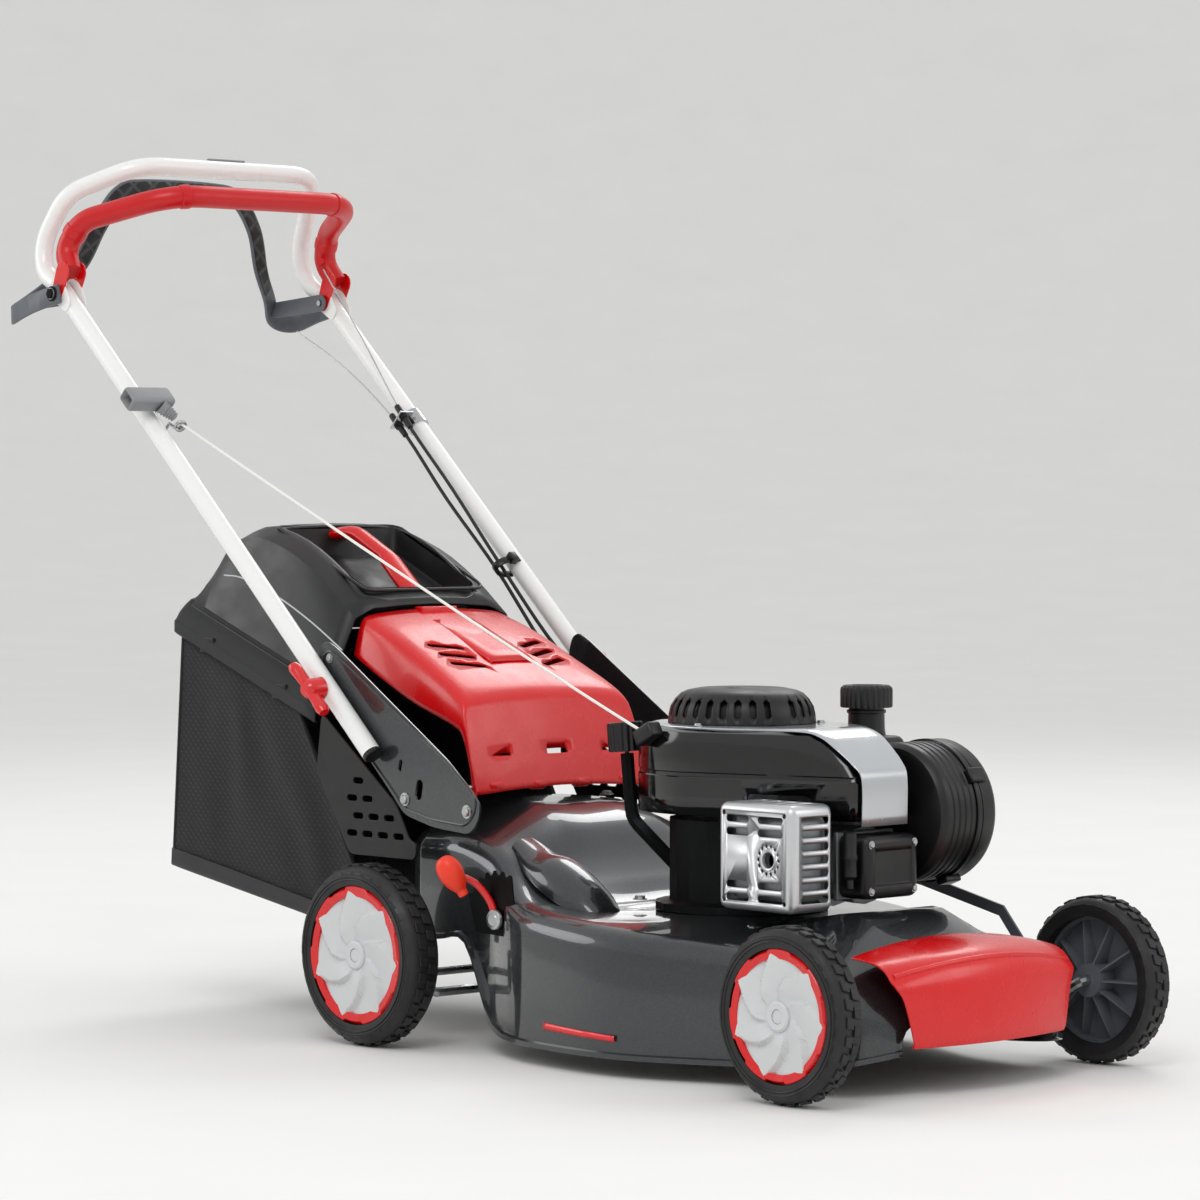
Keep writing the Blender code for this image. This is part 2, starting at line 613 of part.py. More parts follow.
# --- belt drive to the rear wheels --------------------------------------------
def make_drive():
    shaft_axis = pivot("drive_shaft_axis", REAR_PIVOT)
    reach = REAR_OUTER - REAR_WIDTH - 0.004
    profile = [(0, reach), (PINION_RADIUS, reach), (PINION_RADIUS, reach - 0.0045),
               (DRIVE_SHAFT_RADIUS, reach - 0.0045),
               (DRIVE_SHAFT_RADIUS, -reach + 0.0045), (PINION_RADIUS, -reach + 0.0045),
                       (PINION_RADIUS, -reach),
               (0, -reach)]
    finish(turned("drive_shaft", profile, REAR_PIVOT, "Y", 16), STEEL, shaft_axis)

    half = GEARBOX_RADIUS
    profile = [(0.012, 0.042), (half * 0.7, 0.042), (half, 0.026), (half, -0.026), (half * 0.7, -0.042),
               (0.012, -0.042), (DRIVE_SHAFT_RADIUS + RUN, -0.042), (DRIVE_SHAFT_RADIUS + RUN, 0.042)]
    gearbox = turned("gearbox", profile, REAR_PIVOT, "Y", 16, closed=True)
    finish(gearbox, CASTING)

    top = REAR_PIVOT.z + half
    pulley_place = Vector((REAR_PIVOT.x, 0, 0))
    pulley = grooved("gearbox_pulley", GEARBOX_PULLEY_RADIUS, pulley_place,
                     [(0.006, BELT_Z - 0.009), (0.006, top + RUN)])
    finish(pulley, STEEL, pivot("gearbox_pulley_axis", pulley_place + Vector((0, 0, BELT_Z))))

    # Flat-sided belt: tangent runs and half turns in the two grooves
    small, large = GEARBOX_PULLEY_RADIUS, CRANK_PULLEY_RADIUS
    span = ENGINE_X - pulley_place.x
    lean = math.degrees(math.asin((small - large) / span))
    loops = []
    for inset in (BELT_DEPTH, 0.0):
        outline = arc((pulley_place.x, 0), small - inset + RUN, 90 - lean, 270 + lean, 9)
        outline += arc((ENGINE_X, 0), large - inset + RUN, -90 + lean, 90 - lean, 9)
        loops.append(outline)
    belt = plate("drive_belt", [loops[1], loops[0]], 0.006, (0, 0, BELT_Z), (0, 0, 0))
    finish(belt, RUBBER)


def grooved(name, radius, place, foot):
    """A V-belt pulley whose groove lies at the belt's height, with a boss that ends at foot."""
    floor = radius - BELT_DEPTH
    wall = radius + 0.003
    profile = [(0, BELT_Z + 0.008), (wall, BELT_Z + 0.008), (wall, BELT_Z + 0.005), (floor, BELT_Z + 0.0035),
               (floor, BELT_Z - 0.0035), (wall, BELT_Z - 0.005),
                       (wall, BELT_Z - 0.008)] + foot + [(0, foot[-1][1])]
    return turned(name, profile, place, "Z", 16)


# --- blade and crankshaft --------------------------------------------------------
def make_blade():
    axis = pivot("crankshaft_axis", SHAFT_AXIS + Vector((0, 0, BLADE_Z)))
    rows = []
    for share in (-1, -0.80, -0.68, -0.12, 0.12, 0.68, 0.80, 1):
        lift = 0.010 if abs(share) > 0.7 else 0.0       # raised sail at the trailing edge of each tip
        turn = 1 if share > 0 else -1
        edge = BLADE_WIDTH / 2
        rows.append([Vector((share * BLADE_RADIUS, -edge * turn, BLADE_Z)),
                     Vector((share * BLADE_RADIUS, 0, BLADE_Z)),
                     Vector((share * BLADE_RADIUS, edge * turn, BLADE_Z + lift))])
    # rows swap sides at the middle, so each half is lofted from the middle outwards in one order
    ordered = [row if row[0].x > 0 else list(reversed(row)) for row in rows]
    blade = loft("blade", ordered, BLADE_THICKNESS, offset=0.0)
    blade.location = SHAFT_AXIS
    cut(blade, rod("blade_hole", BOLT_RADIUS + 0.0005, 0, 0.1, SHAFT_AXIS, "Z", 12))
    finish(blade, STEEL)
    hang(blade, axis)

    seat = BLADE_Z + BLADE_THICKNESS / 2 + GAP
    under = BLADE_Z - BLADE_THICKNESS / 2 - GAP
    profile = [(0, seat + 0.012), (BOLT_RADIUS, seat + 0.012), (BOLT_RADIUS, under), (0.017, under),
               (0.017, under - 0.003), (0.010, under - 0.003), (0.010, under - 0.011), (0, under - 0.011)]
    finish(turned("blade_bolt", profile, SHAFT_AXIS, "Z", 12), STEEL, axis)

    # Blade carrier keyed on the shaft end, with the drive pulley in one piece
    shaft = SHAFT_RADIUS + GAP
    floor = CRANK_PULLEY_RADIUS - BELT_DEPTH
    wall = CRANK_PULLEY_RADIUS + 0.003
    profile = [(shaft, BELT_Z + 0.008), (wall, BELT_Z + 0.008), (wall, BELT_Z + 0.005),
               (floor, BELT_Z + 0.0035),
               (floor, BELT_Z - 0.0035), (wall, BELT_Z - 0.005), (wall, BELT_Z - 0.008),
                       (0.018, BELT_Z - 0.012),
               (0.018, seat + 0.010), (0.034, seat + 0.006), (0.034, seat), (BOLT_RADIUS + GAP, seat),
               (BOLT_RADIUS + GAP, seat + 0.016), (shaft, seat + 0.016)]
    finish(turned("blade_carrier", profile, SHAFT_AXIS, "Z", 16, closed=True), STEEL, axis)

    web, throw = 0.036, 0.022
    top = FLYWHEEL_Z + 0.030
    lower = turned("crankshaft", [(0, 0.232), (web, 0.232), (web, 0.224), (SHAFT_RADIUS, 0.224),
                                  (SHAFT_RADIUS, seat + 0.0165), (0, seat + 0.0165)], SHAFT_AXIS, "Z", 16)
    upper = turned("crankshaft_upper", [(0, top), (SHAFT_RADIUS, top), (SHAFT_RADIUS, 0.262), (web, 0.262),
                                        (web, 0.254), (0, 0.254)], SHAFT_AXIS, "Z", 16)
    pin = rod("crankpin", 0.010, 0.228, 0.258, SHAFT_AXIS + Vector((throw, 0, 0)), "Z", 12)
    join(lower, upper)
    join(lower, pin)
    finish(lower, STEEL, axis)

    bore = SHAFT_RADIUS + GAP
    profile = [(bore, FLYWHEEL_Z + 0.022), (0.030, FLYWHEEL_Z + 0.022), (0.034, FLYWHEEL_Z + 0.010),
               (0.082, FLYWHEEL_Z + 0.010), (0.082, FLYWHEEL_Z + 0.030), (0.094, FLYWHEEL_Z + 0.030),
               (0.094, FLYWHEEL_Z), (bore, FLYWHEEL_Z)]
    finish(turned("flywheel", profile, SHAFT_AXIS, "Z", 20, closed=True), CASTING, axis)


# --- engine ------------------------------------------------------------------------
def make_crankcase():
    base = PLATFORM_Z + 2 * GAP
    bore = SHAFT_RADIUS + RUN
    profile = [(bore, CASE_TOP), (CASE_RADIUS, CASE_TOP), (CASE_RADIUS, base + 0.0115), (0.105, base + 0.009),
               (0.105, base), (bore, base), (bore, 0.198), (0.048, 0.198), (0.048, CASE_TOP - 0.006),
               (bore, CASE_TOP - 0.006)]
    case = turned("crankcase", profile, SHAFT_AXIS, "Z", 20, closed=True)
    cut(case, rod("case_mouth", CYLINDER_BORE, 0.030, 0.095, (ENGINE_X, 0, CYLINDER_Z), "X", 16))

    # Oil filler pipe in one piece with the case, the dipstick standing in it
    top, knee, end = FILLER_ROUTE
    along, into = (top - knee).normalized(), (end - knee).normalized()
    join(case, as_mesh(tube("filler_pipe", bent([top, knee, end + into * 0.004], 0.03, 3), 0.0085, 8)))
    cut(case, as_mesh(tube("filler_bore", bent([top + along * 0.01, knee, end + into * 0.020], 0.03, 3),
                           0.0060, 8)))
    finish(case, CASTING)
    stick = as_mesh(tube("dipstick", [top + along * 0.010, top - along * 0.060], 0.0028, 8))
    head = as_mesh(tube("dipstick_head", [top + along * 0.002, top + along * 0.038], 0.0225, 12))
    join(stick, head)
    finish(stick, BLACK_PLASTIC, pivot("dipstick_axis", top))

    start, end = CASE_RADIUS + RUN, 0.205
    step = 0.018
    count = int((end - 0.030 - start) / step)
    side = []
    for i in range(count):
        low = start + 0.004 + i * step
        side += [(0.044, low), (0.052, low), (0.052, low + 0.007), (0.044, low + 0.007)]
    profile = [(0, end)] + [(0.046, end), (0.046, end - 0.020)] + list(reversed(side)) + [(0.044, start)]
    profile += [(CYLINDER_BORE, start), (CYLINDER_BORE, end - 0.020), (0, end - 0.020)]
    cylinder = turned("cylinder", profile, (ENGINE_X, 0, CYLINDER_Z), "X", 16)
    finish(cylinder, CASTING)

    crown = 0.165
    profile = [(0, crown), (CYLINDER_BORE - 0.0004, crown), (CYLINDER_BORE - 0.0004, crown - 0.040),
               (0.006, crown - 0.040), (0.006, 0.039), (0, 0.039)]
    finish(turned("piston", profile, (ENGINE_X, 0, CYLINDER_Z), "X", 16), CASTING)

    front = ENGINE_X + end + GAP
    cover = box("valve_cover", (front, -0.054, 0.208), (front + 0.054, 0.036, 0.282), 0.010)
    cut(cover, box("cover_hollow", (front - 0.01, -0.050, 0.212), (front + 0.050, 0.032, 0.278), 0.008))
    finish(cover, BLACK_PLASTIC)
    plug = turned("spark_plug", [(0, 0.290), (0.0075, 0.286), (0.0085, 0.236), (0.0045, 0.232),
                                 (0.0045, 0.222),
                                 (0, 0.222)], (ENGINE_X + 0.244, -0.066, 0), "Z", 12)
    finish(plug, BLACK_PLASTIC)


def shroud_loop(z, rear, nose_x, nose_half, count=9):
    """Plan outline of the blower housing: a round rear that tapers to a narrow nose."""
    middle = Vector((ENGINE_X, 0, z))
    points = []
    for i in range(count):
        a = math.radians(68 + (292 - 68) * i / (count - 1))
        points.append(middle + Vector((rear * math.cos(a), rear * math.sin(a), 0)))
    shift = NOSE_Y
    for share_x, share_y in ((0.86, -1.22), (1.0, -0.86), (1.0, 0.0), (1.0, 0.86), (0.86, 1.22)):
        points.append(Vector((ENGINE_X + (nose_x - ENGINE_X) * share_x, shift + nose_half * share_y, z)))
    return points


def make_shroud():
    levels = [(0.298, 0.125, 0.620, 0.043), (0.345, 0.125, 0.620, 0.043), (0.362, 0.125, 0.607, 0.043),
              (0.386, 0.123, 0.577, 0.045), (0.395, 0.119, 0.562, 0.046), (0.399, 0.110, 0.545, 0.044)]
    loops = [shroud_loop(*level) for level in levels]
    loops.append([Vector((ENGINE_X, 0, 0.399)) + (p - Vector((ENGINE_X, 0, 0.399))).normalized() * 0.062
                  for p in loops[-1]])
    shroud = loft("engine_shroud", loops, 0.0022, loop=True)
    cut(shroud, rod("shroud_scallop", FILTER_RADIUS + 0.003, FILTER_INNER - 0.004, 0.25,
                    (FILTER_X, 0, FILTER_Z), "Y", 24))
    cut(shroud, box("shroud_notch", (0.484, -0.2, 0.28), (0.64, -0.070, 0.326)))
    finish(shroud, BLACK_PLASTIC)

    # Silver trim: over the top and down the nose, sitting on the housing
    rise = GAP + 0.001
    path = [(0.268, 0.399, 0.030), (0.290, 0.399, 0.068), (0.340, 0.399, 0.098), (0.420, 0.399, 0.098),
            (0.500, 0.399, 0.070), (0.548, 0.3995, 0.052), (0.568, 0.3945, 0.048), (0.583, 0.3865, 0.046),
            (0.612, 0.3625, 0.042), (0.6245, 0.345, 0.038), (0.6245, 0.291, 0.038)]
    rows = []
    for x, z, half in path:
        middle = NOSE_Y if x > 0.5 else 0.0
        rows.append([Vector((x, middle + half * share, z + rise)) for share in (-1, -0.5, 0, 0.5, 1)])
    trim = loft("shroud_trim", rows, 0.0018, offset=1.0)
    finish(trim, SILVER)

    base = 0.399 + rise + 0.0018 + 2 * GAP
    profile = [(0, 0.445), (0.052, 0.4445), (0.074, 0.438), (0.087, 0.422), (0.0895, base), (0.0865, base),
               (0.084, 0.421), (0.072, 0.4355), (0.051, 0.442), (0, 0.4425)]
    cover = turned("recoil_cover", profile, SHAFT_AXIS, "Z", 24)
    finish(cover, BLACK_PLASTIC)


def make_fuel_system():
    x, y = FUEL_NECK
    tank = box("fuel_tank", (x - 0.062, 0.1285, 0.300), (x + 0.045, 0.1780, 0.384), 0.010)
    join(tank, rod("fuel_neck", 0.022, 0.376, 0.430, (x, y, 0), "Z", 20))
    cut(tank, rod("fuel_bore", 0.017, 0.312, 0.450, (x, y, 0), "Z", 16))
    finish(tank, BLACK_PLASTIC)
    profile = [(0, 0.4445), (0.027, 0.4445), (0.032, 0.439), (0.032, 0.4175), (0.0228, 0.4175),
               (0.0228, 0.434),
               (0, 0.434)]
    cap = turned("fuel_cap", profile, (x, y, 0), "Z", 24)
    finish(cap, BLACK_PLASTIC, pivot("fuel_cap_axis", (x, y, 0.43)))

    r = FILTER_RADIUS
    low, mid = FILTER_INNER, FILTER_INNER + 0.066
    profile = [(0, low + 0.003), (r - 0.010, low + 0.003), (r - 0.003, low + 0.009), (r - 0.003, mid),
               (r, mid),
               (r, low + 0.007), (r - 0.008, low), (0, low)]
    place = (FILTER_X, 0, FILTER_Z)
    finish(turned("air_filter_body", profile, place, "Y", 20), BLACK_PLASTIC)
    high = mid + 0.030
    profile = [(0, high), (r - 0.012, high), (r + 0.002, high - 0.010), (r + 0.002, mid + GAP),
               (r - 0.004, mid + GAP),
               (r - 0.004, high - 0.012), (0, high - 0.006)]
    finish(turned("air_filter_cover", profile, place, "Y", 20), BLACK_PLASTIC)


def make_exhaust():
    low, high = Vector((0.4925, -0.1550, 0.1960)), Vector((0.6145, -0.0790, 0.3210))
    wall = Vector((0.0022, 0.0022, 0.0022))
    inside = 0.009
    muffler = box("muffler", low + Vector((inside, inside, inside)), high - Vector((inside, 0.004, inside)),
                  0.014)
    skin = Vector((0.0015, 0.0015, 0.0015))
    cut(muffler, box("muffler_hollow", low + Vector((inside, inside, inside)) + skin,
                     high - Vector((inside, 0.004, inside)) - skin, 0.013))
    cut(muffler, rod("muffler_outlet", 0.009, -0.15, 0.15, (low.x + 0.085, 0, low.z + 0.060), "Y", 12))
    finish(muffler, STEEL)

    guard = box("muffler_guard", low, high, 0.011)
    cut(guard, box("guard_hollow", low + wall, (high.x - wall.x, high.y + 0.02, high.z - wall.z), 0.009))
    step = 0.0152
    for i in range(7):
        z = low.z + 0.0155 + i * step
        cut(guard, box("guard_slot_x%d" % i, (high.x - 0.02, low.y + 0.016, z - 0.0042),
                       (high.x + 0.02, high.y - 0.010, z + 0.0042)))
    for i in (0, 1, 5, 6):
        z = low.z + 0.0155 + i * step
        cut(guard, box("guard_slot_a%d" % i, (low.x + 0.016, low.y - 0.02, z - 0.0042),
                       (low.x + 0.053, low.y + 0.0075, z + 0.0042)))
        cut(guard, box("guard_slot_b%d" % i, (low.x + 0.067, low.y - 0.02, z - 0.0042),
                       (high.x - 0.014, low.y + 0.0075, z + 0.0042)))
    finish(guard, STEEL)


# --- handle ---------------------------------------------------------------------------
def capsule(a, b, radius_a, radius_b, count=5):
    """Outline round two points, in x and z."""
    ax, az = a.x, a.z
    heading = math.degrees(math.atan2(b.z - az, b.x - ax))
    outline = arc((b.x, b.z), radius_b, heading - 90, heading + 90, count)
    return outline + arc((ax, az), radius_a, heading + 90, heading + 270, count)


def make_handlebar():
    upper = [Vector((-0.733, 0.228, 0.9740)), Vector((-0.742, 0.222, 1.018)), Vector((-0.706, 0.210, 1.081)),
             Vector((-0.626, 0.148, 1.118))]
    route = bent(mirrored([on_leg(0, HANDLE_Y), on_leg(PIVOT_RUN + 0.010, HANDLE_Y)] + upper), 0.030, 3)
    bar = as_mesh(tube("handlebar", route, TUBE_RADIUS, 10))
    first, second = route[0], route[1]
    away = (first - second).normalized() * 0.01
    lumen = [first + away] + route[1:-1] + [route[-1] + Vector((away.x, -away.y, away.z))]
    cut(bar, as_mesh(tube("handlebar_bore", lumen, TUBE_RADIUS - TUBE_WALL, 8)))
    for name, place in (("knob", KNOB_AXIS), ("pivot", PIVOT)):
        cut(bar, rod("handlebar_%s_hole" % name, BOLT_RADIUS + GAP, -0.3, 0.3, place, "Y", 12))
    finish(bar, WHITE_PAINT, pivot("handle_fold_axis", KNOB_AXIS))


def make_levers():
    axis = pivot("lever_axis", PIVOT)
    start = PIVOT + LEG_FRONT * 0.0300 + LEG * 0.010
    half = [Vector((start.x, HANDLE_Y, start.z)), Vector((-0.690, 0.224, 1.003)),
            Vector((-0.668, 0.214, 1.042)),
            Vector((-0.547, 0.153, 1.074))]
    bail = as_mesh(tube("brake_bail", bent(mirrored(half), 0.035, 2), BAIL_RADIUS, 8))
    for sign in (-1, 1):
        for offset in (-BAIL_EAR_OFFSET, BAIL_EAR_OFFSET):
            hole = circle_outline(PIVOT.x, PIVOT.z, BOLT_RADIUS + GAP)
            ear = plate("bail_ear_%d_%d" % (sign, offset > 0), [capsule(PIVOT, start, 0.011, 0.0135), hole],
                        0.0022,
                        (0, sign * (HANDLE_Y + offset), 0), UPRIGHT)
            join(bail, as_mesh(ear))
    join(bail, as_mesh(tube("bail_cable_lug", [Vector((-0.688, 0.222, 1.003)), BAIL_LUG], 0.0050, 8)))
    finish(bail, RED_PLASTIC, axis)

    side, back = Vector((0, 1, 0)), Vector((-1, 0, -0.15))
    path = [(PIVOT.x + 0.012, LEVER_BAND_Y, PIVOT.z, side), (PIVOT.x - 0.050, LEVER_BAND_Y, PIVOT.z - 0.012, side),
            (-0.782, 0.2440, 0.919, Vector((-0.5, 0.9, 0))),
                    (-0.798, 0.2220, 0.926, Vector((-1, 0.45, -0.1))),
            (-0.772, 0.1900, 0.955, back), (-0.748, 0.1570, 0.992, back), (-0.734, 0.1340, 1.045, back),
            (-0.730, 0.1020, 1.086, back), (-0.730, 0.060, 1.096, back)]
    route = [Vector((x, y, z)) for x, y, z, face in path]
    faces = [face for x, y, z, face in path]
    route += [Vector((p.x, -p.y, p.z)) for p in reversed(route)]
    faces += [Vector((f.x, -f.y, f.z)) for f in reversed(faces)]
    lever = strap("drive_lever", route, BAND_WIDTH, 0.0030, faces)
    for sign in (-1, 1):
        rear_end = Vector((-0.784, 0, 0.937))
        cheek = plate("lever_cheek_%d" % sign, [capsule(PIVOT, rear_end, 0.012, 0.011)], 0.0026,
                      (0, sign * LEVER_CHEEK_Y, 0), UPRIGHT)
        join(lever, as_mesh(cheek))
    cut(lever, rod("lever_pivot_hole", BOLT_RADIUS + GAP, -0.3, 0.3, PIVOT, "Y", 12))
    finish(lever, GREY_PLASTIC, axis)

    for name, sign in (("right", -1), ("left", 1)):
        inner, outer = LEVER_CHEEK_Y - 0.0035, LEVER_BAND_Y + 0.0025
        profile = [(0, outer + 0.004), (0.008, outer + 0.004), (0.008, outer), (BOLT_RADIUS, outer),
                   (BOLT_RADIUS, inner), (0, inner)]
        if sign < 0:
            profile = [(radius, -height) for radius, height in reversed(profile)]
        finish(turned("pivot_bolt_" + name, profile, PIVOT, "Y", 12), STEEL)


def make_fold_knobs():
    for name, sign in (("right", -1), ("left", 1)):
        face = HANDLE_Y + TUBE_RADIUS + GAP
        axis = pivot("fold_knob_%s_axis" % name, KNOB_AXIS)
        profile = [(0, face + 0.026), (0.010, face + 0.026), (0.013, face + 0.020), (0.014, face),
                   (BOLT_RADIUS, face),
                   (BOLT_RADIUS, 0.2090), (0, 0.2090)]
        if sign < 0:
            profile = [(radius, -height) for radius, height in reversed(profile)]
        knob = turned("fold_knob_" + name, profile, KNOB_AXIS, "Y", 16)
        along = LEG * 0.034
        middle = KNOB_AXIS + Vector((0, sign * (face + 0.016), 0))
        wings = as_mesh(tube("knob_wings_" + name, [middle - along, middle + along], 0.0085, 8))
        join(knob, wings)
        finish(knob, RED_PLASTIC, axis)


def make_cable_bracket():
    """Clamp round the left leg with a forked plate, open behind, that the two cables lie in."""
    place = on_leg(CABLE_BRACKET_RUN, 0)
    clamp = ring("cable_bracket", TUBE_RADIUS + 0.003, TUBE_RADIUS + GAP, -0.012, 0.012, (0, 0, 0), "Z", 20)
    clamp.location = place + Vector((0, HANDLE_Y, 0))
    clamp.rotation_euler = LEG_TURN
    reach = HANDLE_Y - TUBE_RADIUS - 0.001
    fork = box("cable_fork", (-0.013, 0.1950 - 0.002, -0.0012), (0.019, reach, 0.0012))
    slot = box("cable_fork_slot", (-0.040, CABLE_Y - 0.0032, -0.05),
               (CABLE_OUT[0] + 0.0035, CABLE_Y + 0.0032, 0.05))
    for piece in (fork, slot):
        centre = piece.location.copy()
        turn = Matrix.Rotation(LEG_TURN[1], 4, "Y")
        piece.location = place + turn @ centre
        piece.rotation_euler = LEG_TURN
    cut(clamp, slot)
    CUTTERS.objects.unlink(slot)
    PARTS.objects.link(slot)
    join(clamp, cut(fork, slot))
    finish(clamp, STEEL)


def make_starter():
    centre = on_leg(GRIP_RUN, -0.2440, 0.030)
    grip = box("starter_grip", (-0.011, -0.035, -0.014), (0.011, 0.035, 0.014), 0.004)
    hollow = box("grip_hollow", (-0.0085, -0.050, -0.0115), (0.0085, 0.030, 0.0115))
    for piece in (grip, hollow):
        piece.location = centre + Vector((0, piece.location.y, 0))
        piece.rotation_euler = LEG_TURN
    neck = as_mesh(tube("grip_neck", [centre - LEG * 0.012 + Vector((0, 0.014, 0)),
                                      ROPE_TOP + LEG * 0.008], 0.0060, 8))
    cut(grip, hollow)
    join(grip, neck)
    finish(grip, GREY_PLASTIC, pivot("starter_grip_axis", centre))
    rope = tube("starter_rope", flowing(STARTER_ROPE_ROUTE, 2), ROPE_RADIUS, 6)
    finish(rope, ROPE)


def make_cables():
    for name, route in (("bail_cable", BAIL_CABLE_ROUTE), ("drive_cable", DRIVE_CABLE_ROUTE)):
        bare = WIRE_RADIUS / CABLE_RADIUS
        points = []
        for p in flowing(route, 2):
            above = (p - on_leg(CABLE_BRACKET_RUN)).dot(LEG) > 0.004
            points.append((p.x, p.y, p.z, bare if above else 1.0))
        finish(tube(name, points, CABLE_RADIUS, 6), BLACK_PLASTIC)


# --- grass bag ----------------------------------------------------------------------------
def rim_z(x):
    """Height of the bag's rim, which falls towards the mower."""
    return BAG_RIM_REAR[1] - BAG_RIM_FALL * (x - BAG_RIM_REAR[0])


def bag_row(share, half, lift=0.0, depth=None):
    """A U-shaped section of the bag between its rear edge (0) and its mouth (1)."""
    top = Vector(BAG_REAR_TOP).lerp(Vector(BAG_MOUTH_TOP), share)
    low = Vector(BAG_REAR_LOW).lerp(Vector(BAG_MOUTH_LOW), share)
    if depth is not None:
        top = low + (top - low).normalized() * depth
    low = low - Vector((0, lift))
    points = []
    for y, t in ((half, 0.0), (half, 0.5), (half, 0.93), (half - 0.004, 0.98), (half - 0.016, 1.0),
                 (half * 0.5, 1.0)):
        at = top.lerp(low, t)
        points.append(Vector((at.x, y, at.y)))
    bottom = Vector((low.x, 0, low.y))
    return points + [bottom] + [Vector((p.x, -p.y, p.z)) for p in reversed(points)]


def make_bag():
    axis = pivot("grass_bag_axis", (BAG_MOUTH_LOW[0], 0, BAG_MOUTH_LOW[1]))
    fabric = loft("bag_fabric", [bag_row(i / 4, BAG_HALF_WIDTH) for i in range(5)], 0.0025, first=True)
    finish(fabric, FABRIC, axis)
    base_rows = [bag_row(i / 4, BAG_HALF_WIDTH + GAP, GAP, 0.022) for i in range(5)]
    base_rows[0] = [point - Vector((2 * GAP, 0, 0)) for point in base_rows[0]]
    wall = 0.0025
    base = loft("bag_base", base_rows, wall, offset=1.0, first=True)
    finish(base, BLACK_PLASTIC, axis)

    half = BAG_HALF_WIDTH + 0.001
    stations = [(-0.486, 0.545), (-0.474, 0.590), (-0.440, 0.622), (-0.400, 0.630), (-0.330, 0.612),
                (-0.260, 0.575), (-0.196, 0.528)]
    rows = []
    for x, crown in stations:
        rim = rim_z(x)
        points = [(half, rim - 0.012), (half, rim + 0.004), (half - 0.006, rim + 0.014),
                  (half - 0.024, rim + 0.030),
                  (0.128, crown - 0.012), (0.090, crown), (0, crown + 0.004)]
        rows.append([Vector((x, y, z)) for y, z in points] + [Vector((x, -y, z)) for y,
                z in reversed(points[:-1])])
    lid = loft("bag_lid", rows, 0.0030, offset=1.0, first=True)
    recess = box("lid_recess", (-0.385, -0.095, 0.45), (-0.215, 0.095, 0.70), 0.010)
    cut(lid, recess)
    finish(lid, BLACK_PLASTIC, axis)
    grip = tube("bag_grip", bent([(-0.3847, 0, 0.622), (-0.350, 0, 0.622), (-0.285, 0, 0.590),
                                  (-0.2190, 0, 0.536)], 0.03, 3),
                0.0095, 10)
    finish(grip, RED_PLASTIC, axis)


make_deck()
make_brackets()
make_flap()
make_wheels()
make_height_adjuster()
make_drive()
make_blade()
make_crankcase()
make_shroud()
make_fuel_system()
make_exhaust()
make_handlebar()
make_levers()
make_fold_knobs()
make_cable_bracket()
make_starter()
make_cables()
make_bag()
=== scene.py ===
import math

import bmesh
import bpy
from mathutils import Matrix, Vector, noise


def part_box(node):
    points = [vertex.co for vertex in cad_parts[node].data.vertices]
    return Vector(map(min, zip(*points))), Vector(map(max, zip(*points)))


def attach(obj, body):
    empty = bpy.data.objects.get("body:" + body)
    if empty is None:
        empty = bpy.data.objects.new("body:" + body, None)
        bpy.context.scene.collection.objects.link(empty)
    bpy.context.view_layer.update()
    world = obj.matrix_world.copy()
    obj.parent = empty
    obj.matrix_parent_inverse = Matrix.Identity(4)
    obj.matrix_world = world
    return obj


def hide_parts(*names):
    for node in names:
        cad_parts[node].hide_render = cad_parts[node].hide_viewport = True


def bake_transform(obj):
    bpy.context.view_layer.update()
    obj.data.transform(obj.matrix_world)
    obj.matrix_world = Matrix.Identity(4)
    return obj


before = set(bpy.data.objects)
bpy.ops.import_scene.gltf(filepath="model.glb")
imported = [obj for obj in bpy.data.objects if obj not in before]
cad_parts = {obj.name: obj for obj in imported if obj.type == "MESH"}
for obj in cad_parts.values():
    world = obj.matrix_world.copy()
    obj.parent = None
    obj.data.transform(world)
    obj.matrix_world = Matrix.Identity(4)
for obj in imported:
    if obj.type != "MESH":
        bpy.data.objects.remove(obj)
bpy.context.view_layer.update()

bl_info = {
    "name": "Petrol Lawn Mower",
    "version": (1, 0, 0),
    "blender": (4, 5, 0),
    "location": "View3D > Sidebar > Mower",
    "description": "Builds a walk-behind lawn mower's visible surfaces piece by piece",
    "category": "Add Mesh",
}

MM = 0.001

# Places taken from the CAD nodes, so that every surface lies where its solid does
REAR_HUB = Vector((0, 0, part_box("tyre_rear_right")[1].z / 2))
FRONT_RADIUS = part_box("tyre_front_right")[1].z / 2
FRONT_HUB = Vector((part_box("tyre_front_right")[1].x - FRONT_RADIUS, 0, FRONT_RADIUS))
ENGINE = Vector((sum(corner.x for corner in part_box("flywheel")) / 2, 0, 0))
LEG_SLOPE = math.radians(42.65)
LEG = Vector((-math.cos(LEG_SLOPE), 0, math.sin(LEG_SLOPE)))
LEG_FRONT = Vector((math.sin(LEG_SLOPE), 0, math.cos(LEG_SLOPE)))
LEG_FOOT = Vector((-0.040, 0, 0.353))
HANDLE_Y = 0.230


def on_leg(run, y=0.0, out=0.0):
    """A point along the handle leg, `out` in front of its middle."""
    return LEG_FOOT + LEG * run + LEG_FRONT * out + Vector((0, y, 0))


KNOB_AXIS = on_leg(0.1185)
PIVOT = on_leg(0.8725)


# --- materials -----------------------------------------------------------------
def linear(hex_colour):
    """An sRGB hex colour as linear RGBA."""
    out = []
    for i in (1, 3, 5):
        c = int(hex_colour[i:i + 2], 16) / 255
        out.append(c / 12.92 if c <= 0.04045 else ((c + 0.055) / 1.055) ** 2.4)
    return (*out, 1.0)


